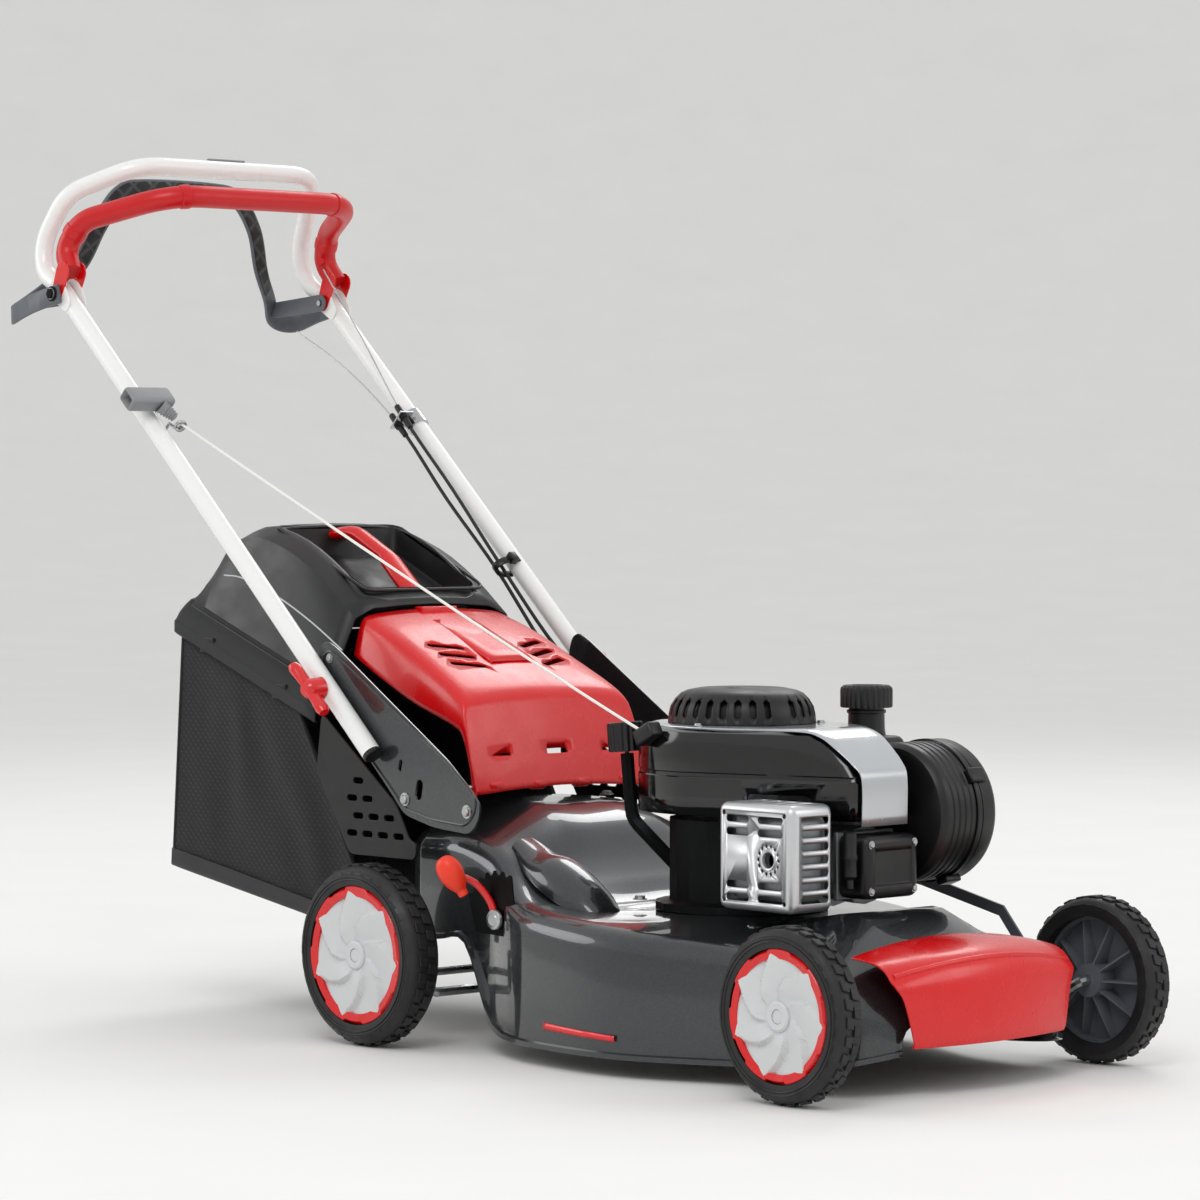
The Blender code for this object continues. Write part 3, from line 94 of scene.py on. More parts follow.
def add(tree, kind, inputs=None, **settings):
    """Add a node; inputs gives sockets a value, or the output of another node."""
    made = tree.nodes.new(kind)
    for key, value in settings.items():
        setattr(made, key, value)
    for key, value in (inputs or {}).items():
        if isinstance(value, bpy.types.NodeSocket):
            tree.links.new(value, made.inputs[key])
        else:
            made.inputs[key].default_value = value
    return made


def finish_of(name, hex_colour, metallic=0.0, roughness=0.4, ior=1.5, coat=0.0, coat_roughness=0.05,
              sheen=0.0):
    """A new material with its shader's even values set; returns material, tree and shader."""
    made = bpy.data.materials.get(name)
    if made:
        bpy.data.materials.remove(made)
    made = bpy.data.materials.new(name)
    made.use_nodes = True
    tree = made.node_tree
    shader = tree.nodes["Principled BSDF"]
    shader.inputs["Base Color"].default_value = linear(hex_colour)
    shader.inputs["Metallic"].default_value = metallic
    shader.inputs["Roughness"].default_value = roughness
    if metallic < 1:
        shader.inputs["IOR"].default_value = ior
    shader.inputs["Coat Weight"].default_value = coat
    shader.inputs["Coat Roughness"].default_value = coat_roughness
    shader.inputs["Sheen Weight"].default_value = sheen
    return made, tree, shader


def place_of(tree):
    """The point on the object, in metres."""
    return add(tree, "ShaderNodeTexCoord").outputs["Object"]


def grain(tree, shader, size, depth, detail=2.0, low=None, high=None):
    """Fine relief of a size in metres; with low and high it also varies the roughness."""
    place = place_of(tree)
    field = add(tree, "ShaderNodeTexNoise", {"Vector": place, "Scale": 1 / size, "Detail": detail})
    bump = add(tree, "ShaderNodeBump", {"Height": field.outputs["Fac"], "Distance": depth, "Strength": 1.0})
    tree.links.new(bump.outputs["Normal"], shader.inputs["Normal"])
    if low is not None:
        broad = add(tree, "ShaderNodeTexNoise", {"Vector": place, "Scale": 1 / (40 * MM), "Detail": 4.0})
        spread = add(tree, "ShaderNodeMapRange",
                     {"Value": broad.outputs["Fac"], "From Min": 0.35, "From Max": 0.65, "To Min": low,
                      "To Max": high})
        tree.links.new(spread.outputs["Result"], shader.inputs["Roughness"])
    return bump


def enamelled_steel(colours):
    # Pressed deck steel under metallic enamel: dark, with a clear hard gloss and fine flakes
    made, tree, shader = finish_of("metallic_enamel_on_steel", colours.deck, 0.55, 0.30, coat=1.0,
                                   coat_roughness=0.04)
    # Flakes are about 0.1 mm; drawn at 0.8 mm so that they show
    flakes = add(tree, "ShaderNodeTexVoronoi", {"Vector": place_of(tree), "Scale": 1 / (0.8 * MM)})
    spread = add(tree, "ShaderNodeMapRange", {"Value": flakes.outputs["Distance"], "To Min": 0.20,
                                              "To Max": 0.40})
    tree.links.new(spread.outputs["Result"], shader.inputs["Roughness"])
    glint = add(tree, "ShaderNodeMix", data_type="RGBA")
    tree.links.new(flakes.outputs["Color"], glint.inputs["Factor"])
    glint.inputs[6].default_value, glint.inputs[7].default_value = linear(colours.deck), linear("#3C3F42")
    tree.links.new(glint.outputs[2], shader.inputs["Base Color"])
    return made


def glossy_abs(name, hex_colour, roughness=0.16, coat=0.6):
    # Injection-moulded ABS from a polished tool: an even, deep gloss with a faint orange peel
    made, tree, shader = finish_of(name, hex_colour, 0.0, roughness, ior=1.54, coat=coat, coat_roughness=0.05)
    grain(tree, shader, 9 * MM, 0.05 * MM, 1.0, roughness * 0.85, roughness * 1.25)
    return made


def grained_polypropylene(name, hex_colour, roughness=0.42, size=0.9 * MM, depth=0.06 * MM):
    # Moulded polypropylene from an etched tool: matt, with a fine pebble; grain drawn at 0.9 mm
    made, tree, shader = finish_of(name, hex_colour, 0.0, roughness, ior=1.49)
    grain(tree, shader, size, depth, 3.0, roughness * 0.85, roughness * 1.2)
    return made


def powder_coated_tube(name, hex_colour):
    # Powder coat on steel tube: smooth satin with a slight waviness
    made, tree, shader = finish_of(name, hex_colour, 0.0, 0.26, ior=1.5, coat=0.4, coat_roughness=0.12)
    grain(tree, shader, 3 * MM, 0.006 * MM, 2.0, 0.24, 0.30)
    return made


def zinc_plated_steel():
    # Bright zinc on steel: a grey metal sheen that is slightly cloudy
    made, tree, shader = finish_of("zinc_plated_steel", "#B9BBBC", 1.0, 0.30)
    grain(tree, shader, 1.2 * MM, 0.02 * MM, 3.0, 0.22, 0.42)
    return made


def aluminised_steel():
    # Stamped aluminised sheet: pale, soft metal gloss with faint rolling streaks
    made, tree, shader = finish_of("aluminised_steel_sheet", "#D7D9DB", 1.0, 0.40)
    stretch = add(tree, "ShaderNodeMapping", {"Vector": place_of(tree), "Scale": (1.0, 1.0, 14.0)})
    field = add(tree, "ShaderNodeTexNoise", {"Vector": stretch.outputs["Vector"], "Scale": 1 / (14 * MM),
                                             "Detail": 5.0})
    spread = add(tree, "ShaderNodeMapRange", {"Value": field.outputs["Fac"], "To Min": 0.30, "To Max": 0.50})
    tree.links.new(spread.outputs["Result"], shader.inputs["Roughness"])
    bump = add(tree, "ShaderNodeBump", {"Height": field.outputs["Fac"], "Distance": 0.08 * MM,
                                        "Strength": 1.0})
    tree.links.new(bump.outputs["Normal"], shader.inputs["Normal"])
    return made


def cast_aluminium(name, hex_colour):
    # Die-cast aluminium: dull metal with a grit of about 1 mm
    made, tree, shader = finish_of(name, hex_colour, 0.9, 0.48)
    grain(tree, shader, 1.1 * MM, 0.12 * MM, 4.0, 0.40, 0.62)
    return made


def moulded_rubber():
    # Carbon-black tyre rubber: near black, dull, with a dusty unevenness
    made, tree, shader = finish_of("moulded_tyre_rubber", "#141415", 0.0, 0.56, ior=1.52)
    grain(tree, shader, 1.5 * MM, 0.08 * MM, 3.0, 0.42, 0.68)
    return made


def coated_polyester():
    # Bag cloth: coarse black polyester with raised ribs every 2.6 mm each way, and a slight sheen; its colour
    # carries painted light and shade, lighter on the rib tops and darker in the hollows between them
    made, tree, shader = finish_of("ribbed_polyester_cloth", "#17181A", 0.0, 0.80, sheen=0.10)
    place = place_of(tree)
    across = add(tree, "ShaderNodeTexWave", {"Vector": place, "Scale": 1 / (2.6 * MM * 6.28318),
                                             "Distortion": 0.6,
                                            "Detail": 1.0, "Detail Scale": 2.0}, bands_direction="Z",
                 wave_profile="SIN")
    along = add(tree, "ShaderNodeTexWave", {"Vector": place, "Scale": 1 / (2.6 * MM * 6.28318),
                                            "Distortion": 0.6,
                                           "Detail": 1.0, "Detail Scale": 2.0}, bands_direction="DIAGONAL")
    both = add(tree, "ShaderNodeMath", {0: across.outputs["Fac"], 1: along.outputs["Fac"]},
               operation="MULTIPLY")
    bump = add(tree, "ShaderNodeBump", {"Height": both.outputs["Value"], "Distance": 0.55 * MM,
                                        "Strength": 1.0})
    tree.links.new(bump.outputs["Normal"], shader.inputs["Normal"])
    # Painted light and shade: the black cloth is coloured lighter on the rib tops and darker in the hollows between
    # the ribs
    tone = add(tree, "ShaderNodeMix", {"Factor": both.outputs["Value"]}, data_type="RGBA")
    tone.inputs[6].default_value, tone.inputs[7].default_value = linear("#070708"), linear("#1D1F21")
    tree.links.new(tone.outputs[2], shader.inputs["Base Color"])
    return made


def braided_nylon():
    # Braided starter rope: white strands that cross every 2 mm
    made, tree, shader = finish_of("braided_nylon_rope", "#F1F1EC", 0.0, 0.62, sheen=0.3)
    wave = add(tree, "ShaderNodeTexWave", {"Vector": place_of(tree), "Scale": 1 / (2 * MM * 6.28318)},
               bands_direction="DIAGONAL")
    bump = add(tree, "ShaderNodeBump", {"Height": wave.outputs["Fac"], "Distance": 0.3 * MM, "Strength": 1.0})
    tree.links.new(bump.outputs["Normal"], shader.inputs["Normal"])
    return made


def waffled_elastomer():
    # Soft grip inlay: black rubber with a raised diamond lattice about 11 mm across; the ridges carry a painted
    # highlight and the hollows painted shade
    made, tree, shader = finish_of("waffled_soft_grip", "#141516", 0.0, 0.50)
    place = place_of(tree)
    cells = []
    for turn in (0.85, -0.85):
        slant = add(tree, "ShaderNodeMapping", {"Vector": place, "Rotation": (turn, 0.0, 0.0)})
        cells.append(add(tree, "ShaderNodeTexWave",
                         {"Vector": slant.outputs["Vector"], "Scale": 1 / (11 * MM * 6.28318)},
                         bands_direction="Y", wave_profile="SIN"))
    ridge = [add(tree, "ShaderNodeMath", {0: cell.outputs["Fac"], 1: 6.0},
                 operation="POWER") for cell in cells]
    both = add(tree, "ShaderNodeMath", {0: ridge[0].outputs["Value"], 1: ridge[1].outputs["Value"]},
               operation="MAXIMUM")
    bump = add(tree, "ShaderNodeBump", {"Height": both.outputs["Value"], "Distance": 1.6 * MM,
                                        "Strength": 1.0})
    tree.links.new(bump.outputs["Normal"], shader.inputs["Normal"])
    # Painted highlight and shade: the lattice ridges are coloured lighter grey, the hollows between them near black
    tone = add(tree, "ShaderNodeMix", {"Factor": both.outputs["Value"]}, data_type="RGBA")
    tone.inputs[6].default_value, tone.inputs[7].default_value = linear("#0A0A0B"), linear("#3A3C3E")
    tree.links.new(tone.outputs[2], shader.inputs["Base Color"])
    return made


FINISHES = {}


def finishes():
    """Every material, made once."""
    if FINISHES:
        return FINISHES
    colours = bpy.context.scene.mower_colours
    FINISHES.update(
        deck=enamelled_steel(colours),
        red=glossy_abs("red_abs", colours.red, 0.26, 0.15),
        bail=grained_polypropylene("red_soft_coated_tube", "#C8060F", 0.36, 1.6 * MM, 0.03 * MM),
        knob=glossy_abs("red_knob_abs", colours.red, 0.24, 0.5),
        ball=grained_polypropylene("orange_red_ball", "#F23A1E", 0.38),
        white=powder_coated_tube("white_powder_coat", colours.tube),
        shroud=glossy_abs("black_gloss_abs", "#060607", 0.12, 0.25),
        black=grained_polypropylene("black_polypropylene", "#0C0C0D", 0.40),
        lid=grained_polypropylene("charcoal_polypropylene", "#17181A", 0.36),
        guard=grained_polypropylene("slotted_guard_polypropylene", "#101112", 0.46),
        grey=grained_polypropylene("grey_filled_nylon", "#5C6066", 0.46),
        grip=grained_polypropylene("pale_grey_nylon", "#8B8E90", 0.44),
        silver=glossy_abs("silver_painted_abs", "#C3C7CA", 0.22, 0.8),
        cover=grained_polypropylene("pale_grey_wheel_cover", colours.cover, 0.40),
        zinc=zinc_plated_steel(),
        sheet=aluminised_steel(),
        cast=cast_aluminium("die_cast_aluminium", "#8C8F91"),
        case=cast_aluminium("black_painted_casting", "#1A1B1C"),
        rubber=moulded_rubber(),
        cloth=coated_polyester(),
        rope=braided_nylon(),
        waffle=waffled_elastomer(),
        stripe=glossy_abs("red_printed_film", "#E3121B", 0.30, 0.3),
        print=glossy_abs("pale_grey_print", "#C9CCCE", 0.45, 0.0),
        dark=grained_polypropylene("shadowed_black_plastic", "#08080A", 0.55),
    )
    FINISHES["silver"].node_tree.nodes["Principled BSDF"].inputs["Metallic"].default_value = 0.65
    return FINISHES


# --- mesh tools -------------------------------------------------------------------
def settle(obj, finish, body, replaced=()):
    """Give a piece its material and body (no body when body is None), and hide the CAD nodes it stands for."""
    if finish:
        obj.data.materials.clear()
        obj.data.materials.append(finishes()[finish])
    if body:
        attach(obj, body)
    if replaced:
        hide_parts(*([replaced] if isinstance(replaced, str) else replaced))
    return obj


def from_bmesh(name, bm, smooth=40):
    bmesh.ops.remove_doubles(bm, verts=bm.verts, dist=1e-6)
    bmesh.ops.recalc_face_normals(bm, faces=bm.faces)
    mesh = bpy.data.meshes.new(name)
    bm.to_mesh(mesh)
    bm.free()
    mesh.shade_smooth()
    mesh.set_sharp_from_angle(angle=math.radians(smooth))
    obj = bpy.data.objects.new(name, mesh)
    bpy.context.scene.collection.objects.link(obj)
    return obj


def grid(bm, rows, loop=False, first=False, last=False):
    """Skin like rows of points; loop closes each row, first and last cap the ends."""
    made = [[bm.verts.new(p) for p in row] for row in rows]
    for row, after in zip(made, made[1:]):
        for i in range(len(row) - (0 if loop else 1)):
            k = (i + 1) % len(row)
            bm.faces.new((row[i], row[k], after[k], after[i]))
    if first:
        bm.faces.new(made[0])
    if last:
        bm.faces.new(made[-1])
    return made


def eased(points, count, loop=False):
    """A smooth curve through points, with count points to each span."""
    points = [Vector(p) for p in points]
    n = len(points)
    if loop:
        at = lambda i: points[i % n]
        spans = n
    else:
        ends = [points[0] * 2 - points[1]] + points + [points[-1] * 2 - points[-2]]
        at = lambda i: ends[i + 1]
        spans = n - 1
    out = []
    for i in range(spans):
        a, b, c, d = at(i - 1), at(i), at(i + 1), at(i + 2)
        for k in range(count):
            t = k / count
            out.append(0.5 * (2 * b + (c - a) * t + (2 * a - 5 * b + 4 * c - d) * t * t + (3 * b - a - 3 * c + d) * t ** 3))
    if not loop:
        out.append(points[-1].copy())
    return out


def refined(rows, along, across):
    """A coarse grid of points made smooth both ways."""
    finer = [eased(row, across) for row in rows]
    columns = [eased(column, along) for column in zip(*finer)]
    return [list(row) for row in zip(*columns)]


def thicken(obj, thickness, offset=-1.0, round_edge=0.0):
    wall = obj.modifiers.new("wall", "SOLIDIFY")
    wall.thickness = thickness
    wall.offset = offset
    if round_edge:
        soften(obj, round_edge)
    return obj


def soften(obj, width, segments=2, angle=40):
    edge = obj.modifiers.new("edges", "BEVEL")
    edge.width = width
    edge.segments = segments
    edge.limit_method = "ANGLE"
    edge.angle_limit = math.radians(angle)
    edge.harden_normals = False
    return obj


def frame_for(axis):
    """A turn that takes local Z to an axis."""
    return Vector((0, 0, 1)).rotation_difference(Vector(axis)).to_matrix().to_4x4()


def lathe(name, profile, centre, axis=(0, 0, 1), steps=64, closed=False, smooth=35):
    """Turn a profile of (radius, height) about an axis."""
    bm = bmesh.new()
    turn = Matrix.Translation(Vector(centre)) @ frame_for(axis)
    rows = []
    for k in range(steps):
        a = math.tau * k / steps
        rows.append([turn @ Vector((r * math.cos(a), r * math.sin(a), h)) for r, h in profile])
    rows.append(rows[0])
    made = [[bm.verts.new(p) for p in row] for row in rows[:-1]]
    made.append(made[0])
    count = len(profile)
    for row, after in zip(made, made[1:]):
        for i in range(count if closed else count - 1):
            k = (i + 1) % count
            bm.faces.new((row[i], row[k], after[k], after[i]))
    bmesh.ops.remove_doubles(bm, verts=bm.verts, dist=1e-7)
    return from_bmesh(name, bm, smooth)


def block(name, low, high, bevel=0.002, segments=3, turn=None, centre=None):
    """A box with rounded edges between two corners, turned about its middle if asked."""
    low, high = Vector(low), Vector(high)
    bm = bmesh.new()
    bmesh.ops.create_cube(bm, size=1)
    bmesh.ops.scale(bm, vec=high - low, verts=bm.verts)
    if bevel:
        bmesh.ops.bevel(bm, geom=bm.edges[:], offset=bevel, segments=segments, profile=0.5, affect="EDGES")
    middle = (low + high) / 2
    if turn is not None:
        bm.transform(turn)
    bmesh.ops.translate(bm, vec=middle if centre is None else Vector(centre), verts=bm.verts)
    return from_bmesh(name, bm, 30)


def tube(name, points, radius, sides=8, cyclic=False):
    """A round bar along points; a fourth value scales the radius."""
    data = bpy.data.curves.new(name, "CURVE")
    data.dimensions = "3D"
    spline = data.splines.new("POLY")
    spline.points.add(len(points) - 1)
    for slot, p in zip(spline.points, points):
        slot.co = (p[0], p[1], p[2], 1)
        slot.radius = p[3] if len(p) > 3 else 1.0
    spline.use_cyclic_u = cyclic
    spline.use_smooth = True
    data.bevel_depth = radius
    data.bevel_resolution = max(1, (sides - 4) // 2)
    data.use_fill_caps = True
    obj = bpy.data.objects.new(name, data)
    bpy.context.scene.collection.objects.link(obj)
    return obj


def sheet_of(name, outlines, thickness, place, turn=(math.pi / 2, 0, 0), bevel=0.0):
    """A flat plate from closed outlines, the later ones holes; by default its x, y are X and Z."""
    data = bpy.data.curves.new(name, "CURVE")
    data.dimensions = "2D"
    data.fill_mode = "BOTH"
    for outline in outlines:
        spline = data.splines.new("POLY")
        spline.points.add(len(outline) - 1)
        for slot, p in zip(spline.points, outline):
            slot.co = (p[0], p[1], 0, 1)
        spline.use_cyclic_u = True
    data.extrude = max(thickness / 2 - bevel, 1e-5)
    data.bevel_depth = bevel
    data.bevel_resolution = 2
    data.offset = -bevel
    obj = bpy.data.objects.new(name, data)
    obj.location = place
    obj.rotation_euler = turn
    bpy.context.scene.collection.objects.link(obj)
    return obj


def rounded(outline, radius, count=4):
    """An outline with its corners rounded."""
    out = []
    n = len(outline)
    for i in range(n):
        before, corner, after = (Vector(outline[(i + k) % n]) for k in (-1, 0, 1))
        a, b = before - corner, after - corner
        reach = min(radius, 0.45 * a.length, 0.45 * b.length)
        start, end = corner + a.normalized() * reach, corner + b.normalized() * reach
        for k in range(count + 1):
            t = k / count
            out.append(start * (1 - t) ** 2 + corner * (2 * t * (1 - t)) + end * t ** 2)
    return [(p.x, p.y) for p in out]


def bent(points, radius, count=6):
    """A route with each corner rounded by up to a radius."""
    points = [Vector(p) for p in points]
    out = [points[0]]
    for before, corner, after in zip(points, points[1:], points[2:]):
        a, b = before - corner, after - corner
        reach = min(radius / math.tan(max(a.angle(b), 0.1) / 2), 0.48 * a.length, 0.48 * b.length)
        start, end = corner + a.normalized() * reach, corner + b.normalized() * reach
        for k in range(count + 1):
            t = k / count
            out.append(start * (1 - t) ** 2 + corner * (2 * t * (1 - t)) + end * t ** 2)
    out.append(points[-1])
    return out


def mirrored(points):
    half = [Vector(p) for p in points]
    return half + [Vector((p.x, -p.y, p.z)) for p in reversed(half)]


def circle(x, z, radius, count=20):
    return [(x + radius * math.cos(math.tau * i / count),
             z + radius * math.sin(math.tau * i / count)) for i in range(count)]


def slot_shape(x, z, length, width, lean=0.0, count=5):
    """A slot with round ends."""
    c, s = math.cos(lean), math.sin(lean)
    out = []
    for side in (1, -1):
        for k in range(count + 1):
            a = -math.pi / 2 + math.pi * k / count
            u, v = side * ((length - width) / 2 + width / 2 * math.cos(a)), side * width / 2 * math.sin(a)
            out.append((x + u * c - v * s, z + u * s + v * c))
    return out


def bolt(name, centre, axis, radius, finish="zinc", body="chassis", height=None):
    """A hexagon bolt head on its washer."""
    tall = height or radius * 0.75
    head = lathe(name, [(0, tall), (radius * 0.80, tall), (radius, tall * 0.80), (radius, 0.25 * tall),
                        (radius * 1.35, 0.25 * tall), (radius * 1.35, 0), (0, 0)], centre, axis, 6 * 6)
    for v in head.data.vertices:
        local = frame_for(axis).inverted() @ (v.co - Vector(centre))
        if local.z > 0.26 * tall and local.xy.length > 0.5 * radius:
            a = math.atan2(local.y, local.x)
            flat = math.cos(math.pi / 6) / math.cos((a % (math.pi / 3)) - math.pi / 6)
            local.x, local.y = local.x * flat, local.y * flat
            v.co = Vector(centre) + frame_for(axis) @ local
    return settle(head, finish, body)


def carve(obj, cutters):
    """Cut shapes out of a piece and drop the cutters."""
    for cutter in cutters:
        step = obj.modifiers.new("cut", "BOOLEAN")
        step.operation = "DIFFERENCE"
        step.solver = "EXACT"
        step.object = cutter
    bpy.context.view_layer.update()
    mesh = bpy.data.meshes.new_from_object(obj.evaluated_get(bpy.context.evaluated_depsgraph_get()))
    obj.modifiers.clear()
    obj.data = mesh
    for cutter in cutters:
        bpy.data.objects.remove(cutter, do_unlink=True)
    return obj


def applied(obj):
    """The piece as a plain mesh, with its modifiers or bevel applied."""
    bpy.context.view_layer.update()
    mesh = bpy.data.meshes.new_from_object(obj.evaluated_get(bpy.context.evaluated_depsgraph_get()))
    made = bpy.data.objects.new(obj.name + "_m", mesh)
    made.matrix_world = obj.matrix_world.copy()
    bpy.context.scene.collection.objects.link(made)
    name = obj.name
    bpy.data.objects.remove(obj, do_unlink=True)
    made.name = name
    return made


def dress(finish, *nodes):
    """Give CAD nodes whose shape is right their material."""
    for node in nodes:
        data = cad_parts[node].data
        if not data.materials:
            data.materials.append(None)
        for i in range(len(data.materials)):
            data.materials[i] = finishes()[finish]


# --- stage ------------------------------------------------------------------------
def make_stage():
    """Pale floor, soft studio light and the camera."""
    scene = bpy.context.scene
    # Matt painted plywood floor, a touch warmer than white, with a very faint mottle
    floor, tree, shader = finish_of("matt_painted_floor", "#F0F0EE", 0.0, 0.75)
    field = add(tree, "ShaderNodeTexNoise", {"Vector": place_of(tree), "Scale": 1 / (300 * MM),
                                             "Detail": 3.0})
    tone = add(tree, "ShaderNodeMix", {"Factor": field.outputs["Fac"]}, data_type="RGBA")
    tone.inputs[6].default_value, tone.inputs[7].default_value = linear("#F3F3F1"), linear("#EDEDEB")
    tree.links.new(tone.outputs[2], shader.inputs["Base Color"])
    sweep = eased([Vector(p) for p in ((0, 0, 0), (4, 0, 0), (9, 0, 0), (13, 0.35, 0), (17, 1.6, 0),
                                       (21, 4.6, 0), (24, 10, 0))], 6)
    ground = lathe("studio_floor", [(max(p.x, 0), p.y - 0.0004) for p in sweep], (0, 0, 0), steps=96,
                   smooth=80)
    ground.data.materials.append(floor)

    world = bpy.data.worlds.new("studio_world")
    world.use_nodes = True
    world.node_tree.nodes["Background"].inputs["Color"].default_value = (1, 1, 1, 1)
    world.node_tree.nodes["Background"].inputs["Strength"].default_value = 0.76
    scene.world = world
    target = Vector((0.1, 0, 0.45))
    lights = (("key_light", (2.6, -3.4, 4.6), 2.6, 80), ("fill_light", (4.2, 2.6, 2.6), 2.4, 26),
              ("side_light", (-3.8, -2.8, 2.6), 2.4, 36), ("back_light", (-2.0, 3.6, 4.2), 2.2, 48))
    for name, place, size, power in lights:
        data = bpy.data.lights.new(name, "AREA")
        data.shape, data.size, data.energy = "DISK", size, power
        lamp = bpy.data.objects.new(name, data)
        lamp.location = place
        lamp.rotation_euler = (target - Vector(place)).to_track_quat("-Z", "Y").to_euler()
        scene.collection.objects.link(lamp)

    view = scene.mower_view
    around, up = view.azimuth, view.elevation
    aim = Vector((0.1264, 0, 0.5447))
    toward = Vector((math.cos(around) * math.cos(up), -math.sin(around) * math.cos(up), math.sin(up)))
    data = bpy.data.cameras.new("camera")
    data.lens, data.sensor_width = 131.13, 36
    data.clip_end = 100
    camera = bpy.data.objects.new("camera", data)
    camera.location = aim + toward * view.distance
    camera.rotation_euler = (-toward).to_track_quat("-Z", "Y").to_euler()
    scene.collection.objects.link(camera)
    scene.camera = camera
    scene.view_settings.view_transform = "Standard"


# --- deck and nose ------------------------------------------------------------------
# x, half width, crown height, side height, skirt height, from the discharge mouth to the nose
DECK_STATIONS = (
    (-0.020, 0.178, 0.292, 0.262, 0.128), (0.040, 0.186, 0.292, 0.262, 0.128),
                 (0.095, 0.192, 0.289, 0.257, 0.128),
    (0.145, 0.200, 0.270, 0.240, 0.044), (0.183, 0.217, 0.232, 0.212, 0.026),
                 (0.225, 0.235, 0.200, 0.191, 0.023),
    (0.268, 0.247, 0.178, 0.183, 0.022), (0.375, 0.256, 0.178, 0.174, 0.022),
                 (0.450, 0.245, 0.178, 0.168, 0.022),
    (0.520, 0.215, 0.178, 0.162, 0.022), (0.575, 0.195, 0.186, 0.158, 0.023),
                 (0.640, 0.190, 0.192, 0.152, 0.025),
    (0.700, 0.186, 0.158, 0.136, 0.030), (0.740, 0.165, 0.124, 0.108, 0.038),
                 (0.764, 0.128, 0.086, 0.080, 0.046))


def deck_row(x, half, crown, side, skirt):
    """The deck's outline at a station, from the left skirt over to the right; ends curl out as a rolled lip."""
    corner = min(0.030, (side - skirt) * 0.6)
    wall = side - skirt - corner
    points = [(half + 0.001, skirt), (half + 0.0065, skirt), (half + 0.0065, skirt + 0.006),
              (half + 0.001, skirt + 0.0075),
              (half + 0.001, skirt + 0.3 * wall), (half, side - corner)]
    points += [(half - corner + corner * math.cos(a), side - corner + corner * math.sin(a)) for a in (0.35,
            0.8, 1.25, 1.571)]
    inner = half - corner
    points += [(inner * 0.72, side + (crown - side) * 0.45), (inner * 0.45, crown), (inner * 0.2, crown),
               (0, crown)]
    left = [Vector((x, y, z)) for y, z in points]
    return left + [Vector((p.x, -p.y, p.z)) for p in reversed(left[:-1])]


def make_deck():
    size = bpy.context.scene.mower_sizes
    rows = [eased(column, 4) for column in zip(*[deck_row(*station) for station in DECK_STATIONS])]
    rows = [list(row) for row in zip(*rows)]
    bm = bmesh.new()
    grid(bm, rows)
    # Two pressed steps run round the platform below the engine
    for v in bm.verts:
        ring = math.hypot(v.co.x - ENGINE.x, v.co.y)
        if v.co.z > 0.15 and 0.225 < v.co.x < 0.56:
            v.co.z -= 0.0022 * max(0.0, 1 - abs(ring - 0.150) / 0.012)
    shell = thicken(from_bmesh("deck_pressing", bm, 60), size.deck_thickness, -1.0)
    hole = lathe("shaft_hole", [(0, 0.1), (0.0211, 0.1), (0.0211, 0.25), (0, 0.25)], (ENGINE.x, 0, 0),
                 steps=48)
    carve(shell, [hole])
    settle(shell, "deck", "chassis", "deck_shell")

    # Volute that leads the cuttings up to the tunnel, beside the engine on the right
    for sign, name in ((-1, "right"), (1, "left")):
        rows = []
        for x, y, z, wide, tall in ((0.140, 0.135, 0.246, 0.026, 0.014), (0.180, 0.140, 0.222, 0.036, 0.024),
                                    (0.215, 0.143, 0.205, 0.041, 0.036), (0.250, 0.146, 0.190, 0.040, 0.037),
                                    (0.282, 0.149, 0.181, 0.033, 0.026), (0.305, 0.151, 0.174, 0.022, 0.010)):
            rows.append([Vector((x, sign * (y + wide * math.cos(a)), z - 0.004 + tall * math.sin(a)))
                         for a in [math.pi * k / 8 for k in range(9)]])
        bm = bmesh.new()
        grid(bm, refined(rows, 4, 2), first=True, last=True)
        settle(from_bmesh("deck_volute_" + name, bm, 60), "deck", "chassis")

    # Red printed band along the skirt, widening towards the front
    for sign, name in ((-1, "right"), (1, "left")):
        bm = bmesh.new()
        low, high = [], []
        for k in range(25):
            x = 0.300 + 0.125 * k / 24
            half = 0.247 + 0.009 * math.sin(math.pi * (x - 0.268) / 0.214) + 0.0016
            for pair in zip(DECK_STATIONS, DECK_STATIONS[1:]):
                if pair[0][0] <= x <= pair[1][0]:
                    t = (x - pair[0][0]) / (pair[1][0] - pair[0][0])
                    half = max(half, pair[0][1] * (1 - t) + pair[1][1] * t + 0.0026)
            low.append(Vector((x, sign * half, 0.0455 - 0.0035 * k / 24)))
            high.append(Vector((x, sign * half, 0.0535 - 0.0045 * k / 24)))
        grid(bm, [low, high])
        band = thicken(from_bmesh("skirt_band_" + name, bm), 0.0008, 0.0)
        settle(band, "stripe", "chassis")

    # Bolts that carry the engine, and those of the discharge tunnel
    for i, (x, y, z) in enumerate(((0.292, -0.088, 0.178), (0.292, 0.088, 0.178), (0.464, 0.072, 0.178),
                                   (0.468, -0.070, 0.178),
                                   (0.010, -0.120, 0.290), (0.010, 0.120, 0.290))):
        bolt("deck_bolt_%d" % i, (x, y, z + 0.010 if i < 4 else z), (0, 0, 1), 0.0065)


